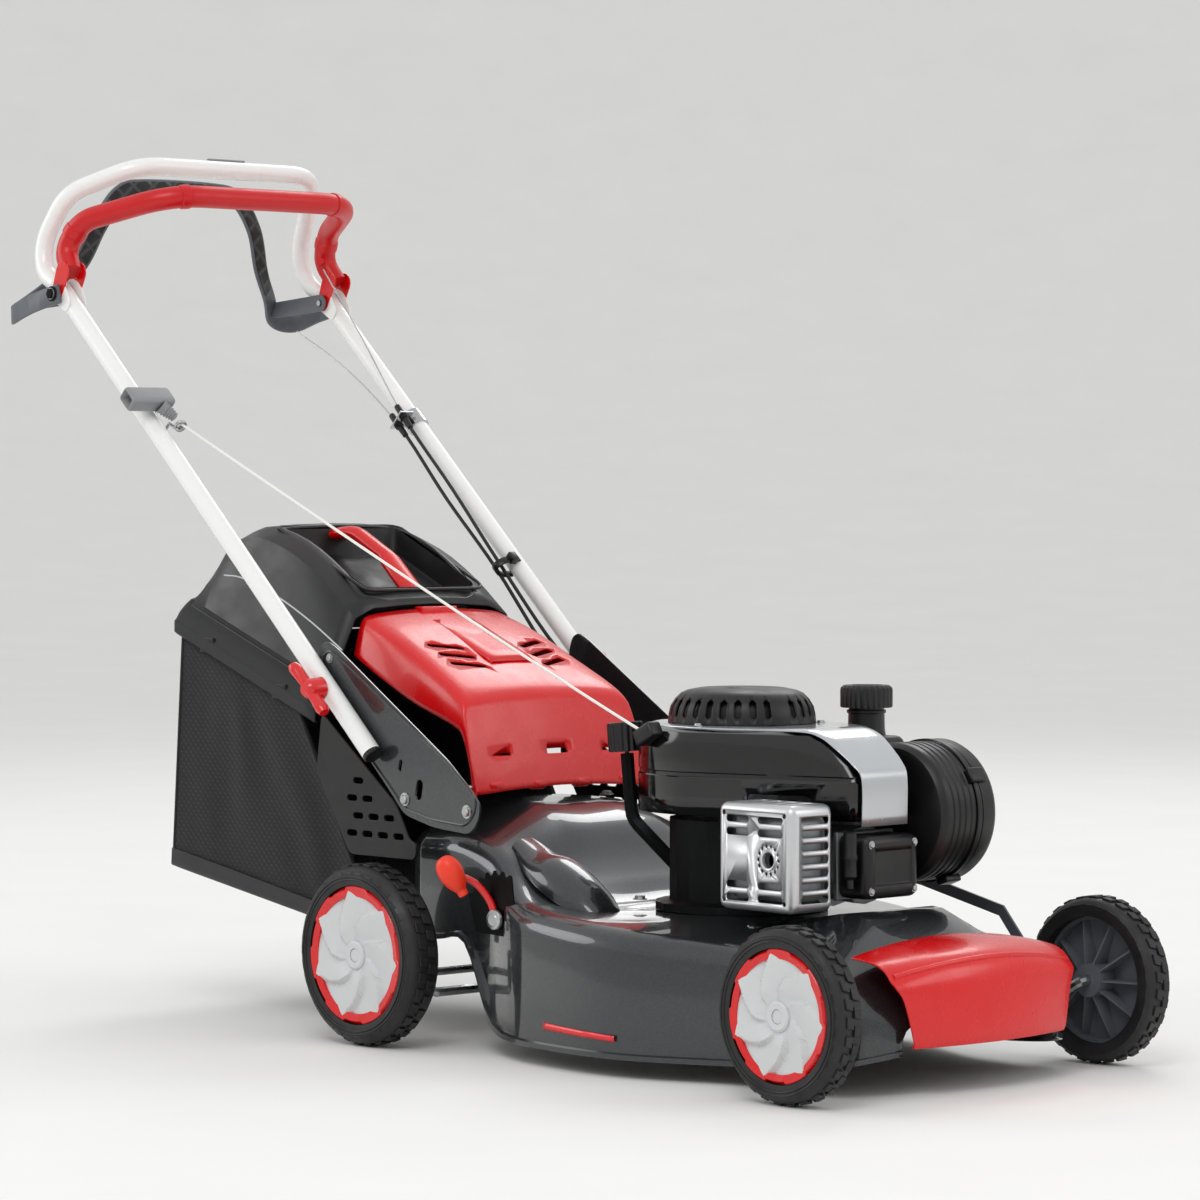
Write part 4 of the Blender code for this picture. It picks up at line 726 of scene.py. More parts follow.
def make_nose():
    """Bumper cover moulded over the deck's front: a broad crowned panel with a returned lower lip."""
    rows = []
    for y in (-1, -0.96, -0.86, -0.5, 0, 0.5, 0.86, 0.96, 1):
        wide, low = 0.152 * y, 0.128 * y
        sag = 0.016 * y * y
        rows.append([(0.706, wide, 0.1690 - sag), (0.724, wide, 0.1676 - sag), (0.745, wide, 0.1640 - sag),
                     (0.768 - sag * 0.6, wide, 0.1572 - sag), (0.783 - sag, wide, 0.1475 - sag),
                     (0.7895 - sag, wide * 0.985, 0.1320 - sag * 0.5), (0.793 - sag, (wide + low) / 2, 0.108),
                     (0.7965 - sag, low, 0.062), (0.7930 - sag, low, 0.0600)])
    bm = bmesh.new()
    grid(bm, refined([[Vector(p) for p in row] for row in rows], 3, 3))
    cover = thicken(from_bmesh("nose_cover", bm, 50), 0.0022, 1.0, 0.0006)
    settle(cover, "red", "chassis", "bumper_cover")
    # Raised shoulder across the top edge
    ridge = [Vector((0.781 - 0.016 * (y / 0.152) ** 2, y, 0.1515 - 0.016 * (y / 0.152) ** 2))
             for y in [-0.146 + 0.292 * k / 20 for k in range(21)]]
    settle(tube("nose_shoulder", ridge, 0.0036, 10), "red", "chassis")


# --- brackets, guards and flap -------------------------------------------------------
BRACKET_OUTLINE = [(-0.158, 0.486), (-0.146, 0.492), (-0.128, 0.484), (0.085, 0.352), (0.128, 0.318),
                   (0.146, 0.300),
                   (0.142, 0.280), (0.126, 0.263), (0.060, 0.268), (0.004, 0.281), (-0.025, 0.310),
                   (-0.070, 0.352),
                   (-0.140, 0.414), (-0.160, 0.438), (-0.166, 0.462)]
GUARD_OUTLINE = [(-0.165, 0.400), (-0.020, 0.292), (0.005, 0.250), (0.018, 0.246), (0.018, 0.225),
                 (-0.110, 0.225),
                 (-0.175, 0.330)]


def make_brackets():
    outline = rounded(BRACKET_OUTLINE, 0.012)
    centre = Vector((sum(p[0] for p in outline), sum(p[1] for p in outline))) / len(outline)
    for side, sign in (("right", -1), ("left", 1)):
        holes = [circle(KNOB_AXIS.x, KNOB_AXIS.z, 0.0048),
                 slot_shape(-0.004, 0.341, 0.016, 0.006, math.radians(75)),
                 slot_shape(0.032, 0.313, 0.026, 0.012, math.radians(80))]
        plate = sheet_of("bracket_plate_" + side, [outline] + holes, 0.003, (0, sign * 0.2150, 0),
                         bevel=0.0005)
        settle(plate, "deck", "chassis", "handle_bracket_" + side)
        # Pressed rim that stiffens the plate's edge
        inset = [(p[0] + (centre.x - p[0]) * 0.045, p[1] + (centre.y - p[1]) * 0.10) for p in outline]
        rim = tube("bracket_rim_" + side, [(x, sign * 0.2168, z) for x, z in inset], 0.0018, 8, cyclic=True)
        settle(rim, "deck", "chassis")
        for i, (x, z) in enumerate(((0.122, 0.291), (-0.140, 0.470), (0.006, 0.300))):
            bolt("bracket_bolt_%s_%d" % (side, i), (x, sign * 0.2166, z), (0, sign, 0),
                 0.0062 if i != 1 else 0.0045)
        vents = [slot_shape(-0.105 + 0.030 * i + 0.012 * (k % 2), 0.252 + 0.022 * k, 0.020, 0.008)
                 for k in range(4) for i in range(4 - k)]
        guard = sheet_of("side_guard_panel_" + side, [rounded(GUARD_OUTLINE, 0.010)] + vents, 0.003,
                         (0, sign * 0.2085, 0), bevel=0.0006)
        settle(guard, "black", "chassis", "side_guard_" + side)


def flap_rows():
    path = [(0.058, 0.305, 0.97, 0.0), (0.050, 0.340, 0.97, 0.002), (0.034, 0.398, 0.95, 0.008),
            (0.016, 0.428, 0.93, 0.020),
            (-0.060, 0.468, 0.90, 0.034), (-0.130, 0.500, 0.88, 0.036), (-0.190, 0.522, 0.84, 0.032)]
    rows = []
    for x, z, share, drop in path:
        half = 0.150 * share
        points = [(half + 0.3 * drop, z - drop - 0.02), (half + 0.15 * drop, z - drop),
                  (half - 0.003, z - 0.30 * drop),
                  (half - 0.016, z - 0.04 * drop), (half * 0.6, z + 0.003), (half * 0.3, z + 0.005),
                  (0, z + 0.006)]
        left = [Vector((x - (0.012 if i == 0 and drop == 0 else 0), y, h)) for i, (y, h) in enumerate(points)]
        rows.append(left + [Vector((p.x, -p.y, p.z)) for p in reversed(left[:-1])])
    return refined(rows, 5, 3)


def make_flap():
    """Rear deflector in one moulding: front wall with recesses, crest, and a roof with two groups of slots."""
    bm = bmesh.new()
    grid(bm, flap_rows())
    flap = thicken(from_bmesh("deflector", bm, 50), 0.0028, -1.0, 0.0)
    cutters = []
    slope = math.atan2(0.040, 0.076)
    for sign in (-1, 1):
        for i in range(3):
            x = -0.040 - 0.022 * i
            turn = Matrix.Rotation(slope, 3, "Y").to_4x4() @ Matrix.Rotation(sign * 0.35, 4, "Z")
            cutters.append(block("slot", (-0.0055, -0.026, -0.02), (0.0055, 0.026, 0.02), 0.005, 3, turn,
                                 (x, sign * 0.072, 0.470 - (x + 0.060) * 0.53)))
    for y in (-0.095, 0, 0.095):
        cutters.append(block("recess", (0.0445, y - 0.018, 0.350), (0.075, y + 0.018, 0.372), 0.002))
    carve(flap, cutters)
    settle(flap, "red", "flap", "rear_flap")
    # Raised panel in the middle of the roof, and the tab at its rear edge
    rows = []
    for x in [-0.036 - 0.013 * k for k in range(10)]:
        z = 0.4755 - (x + 0.060) * 0.40 + 0.0018
        edge = 0.0026 * (x in (-0.036,))
        rows.append([Vector((x, y, z - edge - (0.003 if abs(y) > 0.035 else 0)))
                     for y in (-0.038, -0.034, -0.015, 0, 0.015, 0.034, 0.038)])
    bm = bmesh.new()
    grid(bm, rows)
    settle(thicken(from_bmesh("deflector_panel", bm, 50), 0.0024, -1), "red", "flap")
    tab = block("deflector_tab", (-0.196, -0.030, 0.516), (-0.178, 0.030, 0.5305), 0.0025)
    settle(tab, "red", "flap")
    for k, y in enumerate((-0.110, -0.037, 0.037, 0.110)):
        knuckle = lathe("deflector_knuckle_%d" % k,
                        [(0.0036, -0.011), (0.0070, -0.011), (0.0078, -0.009), (0.0078, 0.009),
                                                    (0.0070, 0.011), (0.0036, 0.011)], (0.050, y, 0.314),
                        (0, 1, 0), 32,
                        closed=True)
        settle(knuckle, "red", "flap")
    dress("zinc", "flap_hinge_rod")


# --- wheels ------------------------------------------------------------------------
def make_wheel(name, hub, radius, width, outer, sign, body):
    """Lugged tyre, red ring, swirled outer cover and a dished inner side."""
    turn = Matrix.Translation(hub + Vector((0, sign * (outer - width / 2), 0))) @ frame_for((0, sign, 0))
    centre = turn.translation
    axis = (0, sign, 0)
    rim, half = radius * 0.80, width / 2
    groove = radius - 0.0030
    carcass = [(rim - 0.004, half * 0.92), (rim + 0.002, half * 0.975), (rim + 0.010, half * 0.99),
               (radius - 0.012, half * 0.955),
               (radius - 0.0065, half * 0.82), (groove, half * 0.60), (groove, -half * 0.60),
               (radius - 0.0065, -half * 0.82),
               (radius - 0.012, -half * 0.955), (rim + 0.010, -half * 0.99), (rim + 0.002, -half * 0.975),
               (rim - 0.004, -half * 0.92)]
    tyre = lathe("tyre_band_" + name, carcass, centre, axis, 96, closed=True, smooth=50)
    settle(tyre, "rubber", body, "tyre_" + name)
    # Tread: two staggered rows of blocks on the crown and a row of shoulder blocks on each side
    count = 34 if radius > 0.105 else 30
    bm = bmesh.new()
    for row, (low, high, top, foot) in enumerate(((0.04, 0.50, radius, groove - 0.001),
                                                  (-0.50, -0.04, radius, groove - 0.001),
                                                  (0.58, 1.0, radius - 0.0035, radius - 0.014),
                                                  (-1.0, -0.58, radius - 0.0035, radius - 0.014))):
        for k in range(count):
            a = math.tau * (k + 0.5 * (row % 2)) / count
            span = math.tau / count * (0.31 if row < 2 else 0.30)
            corners = []
            for da in (-span, span):
                for share in (low, high):
                    lean = 0.20 * span * (1 if row < 2 else 0) * (1 if share == high else -1)
                    for r in (foot, top):
                        side = share * half
                        if row > 1 and abs(share) == 1.0:
                            r = r - (0.007 if r == top else 0.0)
                            side = math.copysign(half * (1.0 if r < radius - 0.011 else 0.965), share)
                        shrink = 0.93 if r == top else 1.0
                        b = a + da * shrink + lean
                        corners.append(bm.verts.new((r * math.cos(b), r * math.sin(b), side)))
            for face in ((0, 1, 3, 2), (4, 6, 7, 5), (0, 4, 5, 1), (2, 3, 7, 6), (1, 5, 7, 3), (0, 2, 6, 4)):
                bm.faces.new([corners[i] for i in face])
    bm.transform(turn)
    lugs = soften(from_bmesh("tyre_tread_" + name, bm, 30), 0.0007, 2)
    settle(lugs, "rubber", body)
    for k, r in enumerate((rim + 0.0035, rim + 0.0075)):
        bead = lathe("tyre_bead_%s_%d" % (name, k),
                     [(r + 0.0011 * math.cos(t), half * 0.985 + 0.0011 * math.sin(t))
                                                    for t in [math.tau * i / 8 for i in range(8)]], centre,
                     axis, 96, closed=True)
        settle(bead, "rubber", body)

    # Outer side: grey rim lip, red ring with stepped notches, swirled cover and hub boss
    face = half * 0.80
    seat = rim - 0.0043
    steps = 168
    bm = bmesh.new()
    inner, outer_r = rim * 0.80, seat - 0.0005
    columns = []
    for k in range(steps):
        a = math.tau * k / steps
        edge = outer_r - (rim * 0.035 if (k * 7 / steps) % 1.0 < 0.42 else 0)
        columns.append([turn @ Vector((r * math.cos(a), r * math.sin(a), z)) for r, z in
                        ((inner, face - 0.004), (inner + 0.0005, face + 0.0020),
                         (edge - 0.001, face + 0.0040),
                         (edge, face + 0.0030), (outer_r, face - 0.002))])
    columns.append(columns[0])
    grid(bm, columns)
    settle(from_bmesh("rim_ring_" + name, bm, 30), "red", body)
    bm = bmesh.new()
    columns = []
    reach = rim * 0.885
    for k in range(steps):
        a = math.tau * k / steps
        row = []
        ends = reach - (rim * 0.045 if (k * 7 / steps) % 1.0 < 0.42 else 0)
        for i in range(17):
            share = min(i, 15) / 15
            r = 0.017 + (ends - 0.017) * share + (0.0006 if i == 16 else 0)
            blade = ((a + 0.85 * share) * 7 / math.tau) % 1.0
            ramp = (blade / 0.88) if blade < 0.88 else (1 - blade) / 0.12
            rise = 0.0075 * ramp * min(1.0, 3.5 * share) * (1 - 0.35 * share)
            drop = 0.009 if i == 16 else 0.0
            row.append(turn @ Vector((r * math.cos(a), r * math.sin(a),
                                      face - 0.0015 - drop + rise + 0.002 * (1 - share))))
        columns.append(row)
    columns.append(columns[0])
    grid(bm, columns)
    settle(from_bmesh("hub_swirl_" + name, bm, 22), "cover", body)
    profile = [(0, face + 0.0025), (0.0075, face + 0.0025), (0.0085, face + 0.0015), (0.0085, face + 0.0035),
               (0.0150, face + 0.0040),
               (0.0172, face + 0.0025), (0.0178, face - 0.006)]
    settle(lathe("hub_boss_" + name, profile, centre, axis, 48), "cover", body)

    # Inner side: dished web with ribs, and the drum wall
    back = [(0.0061, -half), (0.020, -half), (0.020, face - 0.010), (seat * 0.6, face - 0.012),
            (seat - 0.004, face - 0.010),
            (seat - 0.004, face - 0.024), (seat, face - 0.024), (seat, face - 0.003), (0.0061, face - 0.003)]
    settle(lathe("wheel_web_" + name, back, centre, axis, 72, closed=True), "grey", body, "wheel_" + name)
    bm = bmesh.new()
    for k in range(10):
        a = math.tau * k / 10
        c, s = math.cos(a), math.sin(a)
        made = [[bm.verts.new(turn @ Vector((r * c - w * s, r * s + w * c, z))) for r, z in
                 ((0.0195, -half + 0.003), (seat - 0.0045, face - 0.021), (seat - 0.0045, face - 0.011),
                  (0.0195, face - 0.011))]
                for w in (-0.0011, 0.0011)]
        bm.faces.new(made[0])
        bm.faces.new(made[1])
        for i in range(4):
            n = (i + 1) % 4
            bm.faces.new((made[0][i], made[0][n], made[1][n], made[1][i]))
    settle(from_bmesh("wheel_ribs_" + name, bm, 30), "grey", body)


def make_wheels():
    for side, sign in (("right", -1), ("left", 1)):
        low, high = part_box("tyre_front_" + side)
        make_wheel("front_" + side, FRONT_HUB, FRONT_RADIUS, high.y - low.y, max(abs(low.y), abs(high.y)),
                   sign,
                   "front_wheel_" + side)
        low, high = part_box("tyre_rear_" + side)
        make_wheel("rear_" + side, REAR_HUB, REAR_HUB.z, high.y - low.y, max(abs(low.y), abs(high.y)), sign,
                   "rear_wheel_" + side)


def make_height_adjuster():
    """Egg-shaped lever knob, its plate, the link bar and the cranked axles."""
    pivot = Vector((0.186, -0.2300, 0.165))
    knob = Vector((0.152, -0.268, 0.221))
    arm = eased([pivot + Vector((0, 0.0035, 0)), pivot + Vector((-0.010, 0.0025, 0.022)),
                 pivot + Vector((-0.024, -0.010, 0.044)),
                 knob], 6)
    shank = tube("height_shank", arm, 0.0045, 12)
    settle(shank, "knob", "lever", "height_lever")
    egg = [(0, 0.0230), (0.0060, 0.0218), (0.0110, 0.0180), (0.0142, 0.0115), (0.0155, 0.0030),
           (0.0146, -0.0060),
           (0.0118, -0.0150), (0.0084, -0.0210), (0.0066, -0.0240), (0.0062, -0.0300), (0.0045, -0.0310)]
    profile = [(p.x, p.y) for p in eased([Vector((r, h, 0)) for r, h in egg], 4)]
    settle(lathe("height_ball", [(max(r, 0), h) for r, h in profile], knob, (-0.28, -0.42, 0.86), 48,
                 smooth=60), "ball", "lever")
    disc = lathe("height_pivot_boss", [(0, 0.0040), (0.0070, 0.0040), (0.0080, 0.0030), (0.0115, 0.0025),
                                       (0.0125, 0.0010),
                                       (0.0125, -0.0020), (0, -0.0020)], pivot + Vector((0, 0.001, 0)),
                 (0, -1, 0), 40)
    settle(disc, "zinc", "lever")
    dress("zinc", "front_height_crank", "rear_height_crank")
    dress("grey", "height_link_bar")
    # Toothed quadrant that the lever locks into
    teeth = []
    middle = (pivot.x, pivot.z)
    for k in range(29):
        a = math.radians(62 + 100 * k / 28)
        r = 0.056 + (0.003 if k % 4 in (1, 2) else -0.002)
        teeth.append((middle[0] + r * math.cos(a), middle[1] + r * math.sin(a)))
    teeth += [(middle[0] - 0.040, middle[1] - 0.018), (middle[0] + 0.010, middle[1] - 0.020),
              (middle[0] + 0.030, middle[1] + 0.010)]
    plate = sheet_of("height_quadrant", [teeth, circle(middle[0], middle[1], 0.004)], 0.002, (0, -0.2225, 0),
                     bevel=0.0003)
    settle(plate, "case", "chassis")


# --- engine -----------------------------------------------------------------------
def shroud_loop(z, rear, nose_x, nose_half):
    points = []
    for i in range(13):
        a = math.radians(68 + 224 * i / 12)
        points.append(Vector((ENGINE.x + rear * math.cos(a), rear * math.sin(a), z)))
    for share_x, share_y in ((0.86, -1.22), (0.975, -1.0), (1.0, -0.78), (1.0, 0.0), (1.0, 0.78),
                             (0.975, 1.0), (0.86, 1.22)):
        points.append(Vector((ENGINE.x + (nose_x - ENGINE.x) * share_x, -0.012 + nose_half * share_y, z)))
    return points


def make_shroud():
    """Blower housing with a crease round it, silver trim and the louvred starter cover."""
    levels = ((0.298, 0.125, 0.620, 0.043), (0.320, 0.125, 0.620, 0.043), (0.3425, 0.125, 0.620, 0.043),
              (0.3440, 0.1236, 0.6185, 0.0422), (0.3480, 0.1236, 0.6165, 0.0422),
              (0.3495, 0.1248, 0.6165, 0.043),
              (0.362, 0.125, 0.607, 0.043), (0.376, 0.1245, 0.591, 0.044), (0.388, 0.1225, 0.575, 0.045),
              (0.3955, 0.1185, 0.562, 0.046), (0.399, 0.110, 0.545, 0.044), (0.3994, 0.100, 0.520, 0.040))
    loops = [eased(shroud_loop(*level), 3, True) for level in levels]
    loops.append([Vector((ENGINE.x, 0, 0.3994)) + (p - Vector((ENGINE.x, 0,
            0.3994))).normalized() * 0.062 for p in loops[-1]])
    bm = bmesh.new()
    grid(bm, loops, loop=True)
    shroud = thicken(from_bmesh("blower_housing", bm, 32), 0.0022, -1)
    scallop = lathe("scallop", [(0, 0.050), (0.086, 0.050), (0.086, 0.25), (0, 0.25)], (0.576, 0, 0.301),
                    (0, 1, 0), 72)
    notch = block("notch", (0.484, -0.2, 0.28), (0.64, -0.070, 0.326), 0.004)
    carve(shroud, [scallop, notch])
    settle(shroud, "shroud", "chassis", "engine_shroud")

    path = [(0.268, 0.399, 0.030), (0.290, 0.399, 0.068), (0.340, 0.399, 0.098), (0.420, 0.399, 0.098),
            (0.500, 0.399, 0.070),
            (0.548, 0.3995, 0.052), (0.568, 0.3945, 0.048), (0.583, 0.3865, 0.046), (0.612, 0.3625, 0.042),
            (0.6245, 0.345, 0.038), (0.6245, 0.291, 0.038)]
    rows = []
    for x, z, half in path:
        middle = -0.012 if x > 0.5 else 0.0
        edge = 0.0022 if 0.28 < x < 0.60 else 0.0
        rows.append([Vector((x, middle + half * s, z + 0.0016 - edge * (abs(s) == 1)))
                     for s in (-1, -0.94, -0.5, 0, 0.5, 0.94, 1)])
    bm = bmesh.new()
    grid(bm, refined(rows, 4, 2))
    trim = thicken(from_bmesh("silver_trim", bm, 50), 0.0018, 1.0)
    settle(trim, "silver", "chassis", "shroud_trim")

    # Starter cover: domed, with upright slots round its side
    profile = [(0.0001, 0.4450), (0.020, 0.4450), (0.0225, 0.4438), (0.0400, 0.4446), (0.052, 0.4442),
               (0.066, 0.4415), (0.074, 0.4380),
               (0.081, 0.4310), (0.0865, 0.4220), (0.0885, 0.4130), (0.0895, 0.4030), (0.0868, 0.4030),
               (0.0855, 0.4125),
               (0.0835, 0.4205), (0.078, 0.4288), (0.072, 0.4352), (0.051, 0.4418), (0.0001, 0.4425)]
    dome = lathe("starter_cover", profile, (ENGINE.x, 0, 0), steps=144, smooth=45)
    bm = bmesh.new()
    for k in range(30):
        a = math.tau * k / 30
        if k % 10 == 9:
            continue
        made = bmesh.ops.create_cube(bm, size=1,
                                     matrix=Matrix.Translation((ENGINE.x, 0, 0)) @ Matrix.Rotation(a, 4, "Z")
                                     @ Matrix.Translation((0.082, 0, 0.4215)) @ Matrix.Diagonal((0.026,
                0.0085, 0.0215, 1)))
        bmesh.ops.bevel(bm, geom=list({e for v in made["verts"] for e in v.link_edges}), offset=0.0018,
                        segments=2,
                        affect="EDGES")
    carve(dome, [from_bmesh("louvres", bm)])
    settle(dome, "black", "chassis", "recoil_cover")
    screen = lathe("starter_screen", [(0, 0.4385), (0.058, 0.4380), (0.072, 0.4300), (0.079, 0.4180),
                                      (0.079, 0.4030)],
                   (ENGINE.x, 0, 0), steps=48)
    settle(screen, "dark", "chassis")
    for k in range(3):
        a = math.tau * (k + 0.35) / 3
        bolt("starter_screw_%d" % k, (ENGINE.x + 0.095 * math.cos(a), 0.095 * math.sin(a), 0.402), (0, 0, 1),
             0.0045)
    tail = block("rope_exit", (-0.016, -0.011, -0.010), (0.016, 0.011, 0.010), 0.004, 3,
                 Matrix.Rotation(-0.5, 4, "Y"),
                 (0.346, -0.126, 0.392))
    settle(tail, "black", "chassis")


def fluted(name, profile, centre, axis, count, depth, low, high, steps=None, finish="black", body="chassis",
           nodes=()):
    """A turned cap whose side carries grip flutes between two heights."""
    cap = lathe(name, profile, centre, axis, steps or count * 6)
    turn = Matrix.Translation(Vector(centre)) @ frame_for(axis)
    back = turn.inverted()
    for v in cap.data.vertices:
        p = back @ v.co
        r = p.xy.length
        if low <= p.z <= high and r > 0.6 * max(q[0] for q in profile):
            a = math.atan2(p.y, p.x)
            p.xy *= (r - depth * (0.5 - 0.5 * math.cos(count * a))) / r
            v.co = turn @ p
    return settle(cap, finish, body, nodes)


def make_fuel_system():
    x, y = 0.440, 0.152
    tank = block("tank_shell", (x - 0.062, 0.1285, 0.300), (x + 0.045, 0.1780, 0.384), 0.011, 4)
    settle(tank, "black", "chassis", "fuel_tank")
    seam = [(x - 0.0622 + 0.1074 * a, 0.1285 + 0.0496 * b) for a, b in ((0, 0), (1, 0), (1, 1), (0, 1))]
    seam = rounded(seam, 0.011)
    settle(tube("tank_seam", [(p[0], p[1], 0.345) for p in seam], 0.0011, 8, True), "black", "chassis")
    neck = [(0.017, 0.376), (0.025, 0.376), (0.0225, 0.392), (0.0222, 0.410), (0.024, 0.411), (0.024, 0.414),
            (0.0215, 0.415),
            (0.0215, 0.430), (0.017, 0.430)]
    settle(lathe("tank_neck", neck, (x, y, 0), steps=48, closed=True), "black", "chassis")
    profile = [(0, 0.4420), (0.018, 0.4420), (0.020, 0.4445), (0.0275, 0.4445), (0.0312, 0.4418),
               (0.0320, 0.4390), (0.0320, 0.4190),
               (0.0312, 0.4175), (0.0228, 0.4175), (0.0228, 0.434), (0, 0.434)]
    fluted("tank_cap", profile, (x, y, 0), (0, 0, 1), 26, 0.0016, 0.4175, 0.4440, body="cap",
           nodes="fuel_cap")
    settle(block("tank_cap_bar", (x - 0.016, y - 0.0035, 0.4410), (x + 0.016, y + 0.0035, 0.4452), 0.0015),
           "black", "cap")

    # Drum air filter, its axis across the mower: ribbed cup, strap with two latches, dished cover
    place, r, low = (0.576, 0, 0.301), 0.083, 0.054
    mid, high = low + 0.066, low + 0.096
    profile = [(0, low + 0.003), (r - 0.012, low), (r - 0.006, low + 0.001), (r - 0.001, low + 0.006)]
    for k in range(5):
        z = low + 0.013 + 0.010 * k
        profile += [(r, z - 0.003), (r, z + 0.003), (r - 0.0016, z + 0.0042), (r - 0.0016, z + 0.0058)]
    profile += [(r, mid - 0.001), (r - 0.004, mid), (0, mid)]
    settle(lathe("filter_cup", profile, place, (0, 1, 0), 96), "black", "chassis", "air_filter_body")
    profile = [(r - 0.004, mid + 0.0003), (r + 0.002, mid + 0.0003), (r + 0.002, high - 0.012),
               (r - 0.0005, high - 0.0065),
               (r - 0.010, high - 0.0005), (r - 0.016, high), (r - 0.022, high - 0.0035),
               (r - 0.040, high - 0.0040),
               (r - 0.046, high - 0.0010), (0.020, high - 0.0005), (0.018, high - 0.0030), (0, high - 0.0030)]
    settle(lathe("filter_lid", profile, place, (0, 1, 0), 96), "black", "chassis", "air_filter_cover")
    strap = [(r + 0.0016, mid - 0.0090), (r + 0.0026, mid - 0.0082), (r + 0.0026, mid - 0.0018),
             (r + 0.0016, mid - 0.0010)]
    settle(lathe("filter_strap", strap, place, (0, 1, 0), 96), "black", "chassis")
    for k, a in enumerate((0.55, math.pi - 0.2, -1.2)):
        at = Vector((place[0] + (r + 0.004) * math.cos(a), mid - 0.002, place[2] + (r + 0.004) * math.sin(a)))
        latch = block("filter_latch_%d" % k, (-0.004, -0.013, -0.009), (0.004, 0.013, 0.009), 0.0022, 3,
                      Matrix.Rotation(-a, 4, "Y"), at)
        settle(latch, "black", "chassis")
    settle(block("carburettor", (0.515, 0.010, 0.258), (0.556, 0.050, 0.300), 0.004), "cast", "chassis")
    settle(tube("intake_elbow", bent([(0.470, 0.028, 0.278), (0.535, 0.030, 0.280), (0.566, 0.040, 0.292),
                                      (0.572, 0.056, 0.300)],
                                     0.02), 0.013, 16), "black", "chassis")
    dress("case", "crankcase")
    dress("cast", "cylinder", "piston", "flywheel", "gearbox")
    dress("zinc", "crankshaft", "blade_bolt", "gearbox_pulley", "drive_shaft")
    dress("case", "blade", "blade_carrier")
    dress("rubber", "drive_belt")

    # Valve cover with a bevelled face, a recessed panel and its screws
    low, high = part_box("valve_cover")
    cover = block("rocker_cover", low, high, 0.010, 4)
    panel = block("panel", (high.x - 0.0018, low.y + 0.014, low.z + 0.016),
                  (high.x + 0.01, high.y - 0.014, high.z - 0.016), 0.003)
    carve(cover, [panel])
    settle(cover, "black", "chassis", "valve_cover")
    settle(block("rocker_flange", (low.x, low.y - 0.003, low.z - 0.003),
                 (low.x + 0.007, high.y + 0.003, high.z + 0.003), 0.002),
           "cast", "chassis")
    for k in range(4):
        bolt("rocker_bolt_%d" % k, (high.x - 0.001, low.y + 0.009 if k % 2 else high.y - 0.009,
                                    low.z + 0.010 if k < 2 else high.z - 0.010),
             (1, 0, 0), 0.0036)
    low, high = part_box("spark_plug")
    at = ((low.x + high.x) / 2, (low.y + high.y) / 2, 0)
    settle(lathe("plug_boot", [(0, 0.290), (0.0075, 0.2865), (0.0085, 0.280), (0.0082, 0.262),
                               (0.0092, 0.260), (0.0092, 0.256),
                               (0.0082, 0.254), (0.0085, 0.236), (0.0045, 0.232), (0.0045, 0.222),
                               (0, 0.222)], at, steps=40),
           "black", "chassis", "spark_plug")

    top, knee = Vector((0.2395, -0.060, 0.361)), Vector((0.2450, -0.057, 0.282))
    along = (top - knee).normalized()
    profile = [(0, 0.0330), (0.0150, 0.0335), (0.0180, 0.0375), (0.0212, 0.0380), (0.0225, 0.0355),
               (0.0225, 0.0050),
               (0.0215, 0.0030), (0.0100, 0.0025), (0.0028, 0.0020), (0.0028, -0.0600), (0, -0.0600)]
    fluted("oil_cap", profile, top, along, 18, 0.0022, 0.0040, 0.0365, body="oil_stick", nodes="dipstick")


def make_exhaust():
    low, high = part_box("muffler_guard")
    dress("cast", "muffler")
    guard = block("exhaust_guard", low, high, 0.011, 5)
    hollow = block("hollow", low + Vector((0.0018, 0.0018, 0.0018)),
                   (high.x - 0.0018, high.y + 0.02, high.z - 0.0018), 0.009, 4)
    cutters = [hollow]
    step = 0.0152
    for i in range(7):
        z = low.z + 0.0155 + i * step
        cutters.append(block("s", (high.x - 0.006, low.y + 0.016, z - 0.0042),
                             (high.x + 0.02, high.y - 0.010, z + 0.0042), 0.0035))
        if i not in (2, 3, 4):
            cutters.append(block("s", (low.x + 0.016, low.y - 0.02, z - 0.0042),
                                 (low.x + 0.053, low.y + 0.006, z + 0.0042), 0.0035))
            cutters.append(block("s", (low.x + 0.067, low.y - 0.02, z - 0.0042),
                                 (high.x - 0.014, low.y + 0.006, z + 0.0042), 0.0035))
    centre = (low.x + 0.085, 0, low.z + 0.0155 + 3 * step)
    for k in range(14):
        a = math.tau * k / 14
        cutters.append(lathe("s", [(0, -0.17), (0.0021, -0.17), (0.0021, -0.148), (0, -0.148)],
                             (centre[0] + 0.0165 * math.cos(a), 0, centre[2] + 0.0165 * math.sin(a)),
                             (0, 1, 0), 10))
    cutters.append(lathe("s", [(0, -0.17), (0.0105, -0.17), (0.0105, -0.148), (0, -0.148)], centre, (0, 1, 0),
                         32))
    for i in range(4):
        x = low.x + 0.022 + 0.0245 * i
        cutters.append(block("s", (x, low.y + 0.014, high.z - 0.006),
                             (x + 0.0085, high.y - 0.016, high.z + 0.02), 0.0035))
    for x in (low.x + 0.012, high.x - 0.012):
        for z in (low.z + 0.012, high.z - 0.012):
            cutters.append(lathe("s", [(0, -0.17), (0.0030, -0.17), (0.0030, -0.148), (0, -0.148)], (x, 0, z),
                                 (0, 1, 0), 14))
    carve(guard, cutters)
    settle(guard, "sheet", "chassis", "muffler_guard")
    rim = lathe("exhaust_outlet", [(0.0085, -0.0030), (0.0105, -0.0030), (0.0125, 0.0005), (0.0115, 0.0018),
                                   (0.0095, 0.0008)],
                (centre[0], low.y, centre[2]), (0, -1, 0), 40, closed=True)
    settle(rim, "sheet", "chassis")


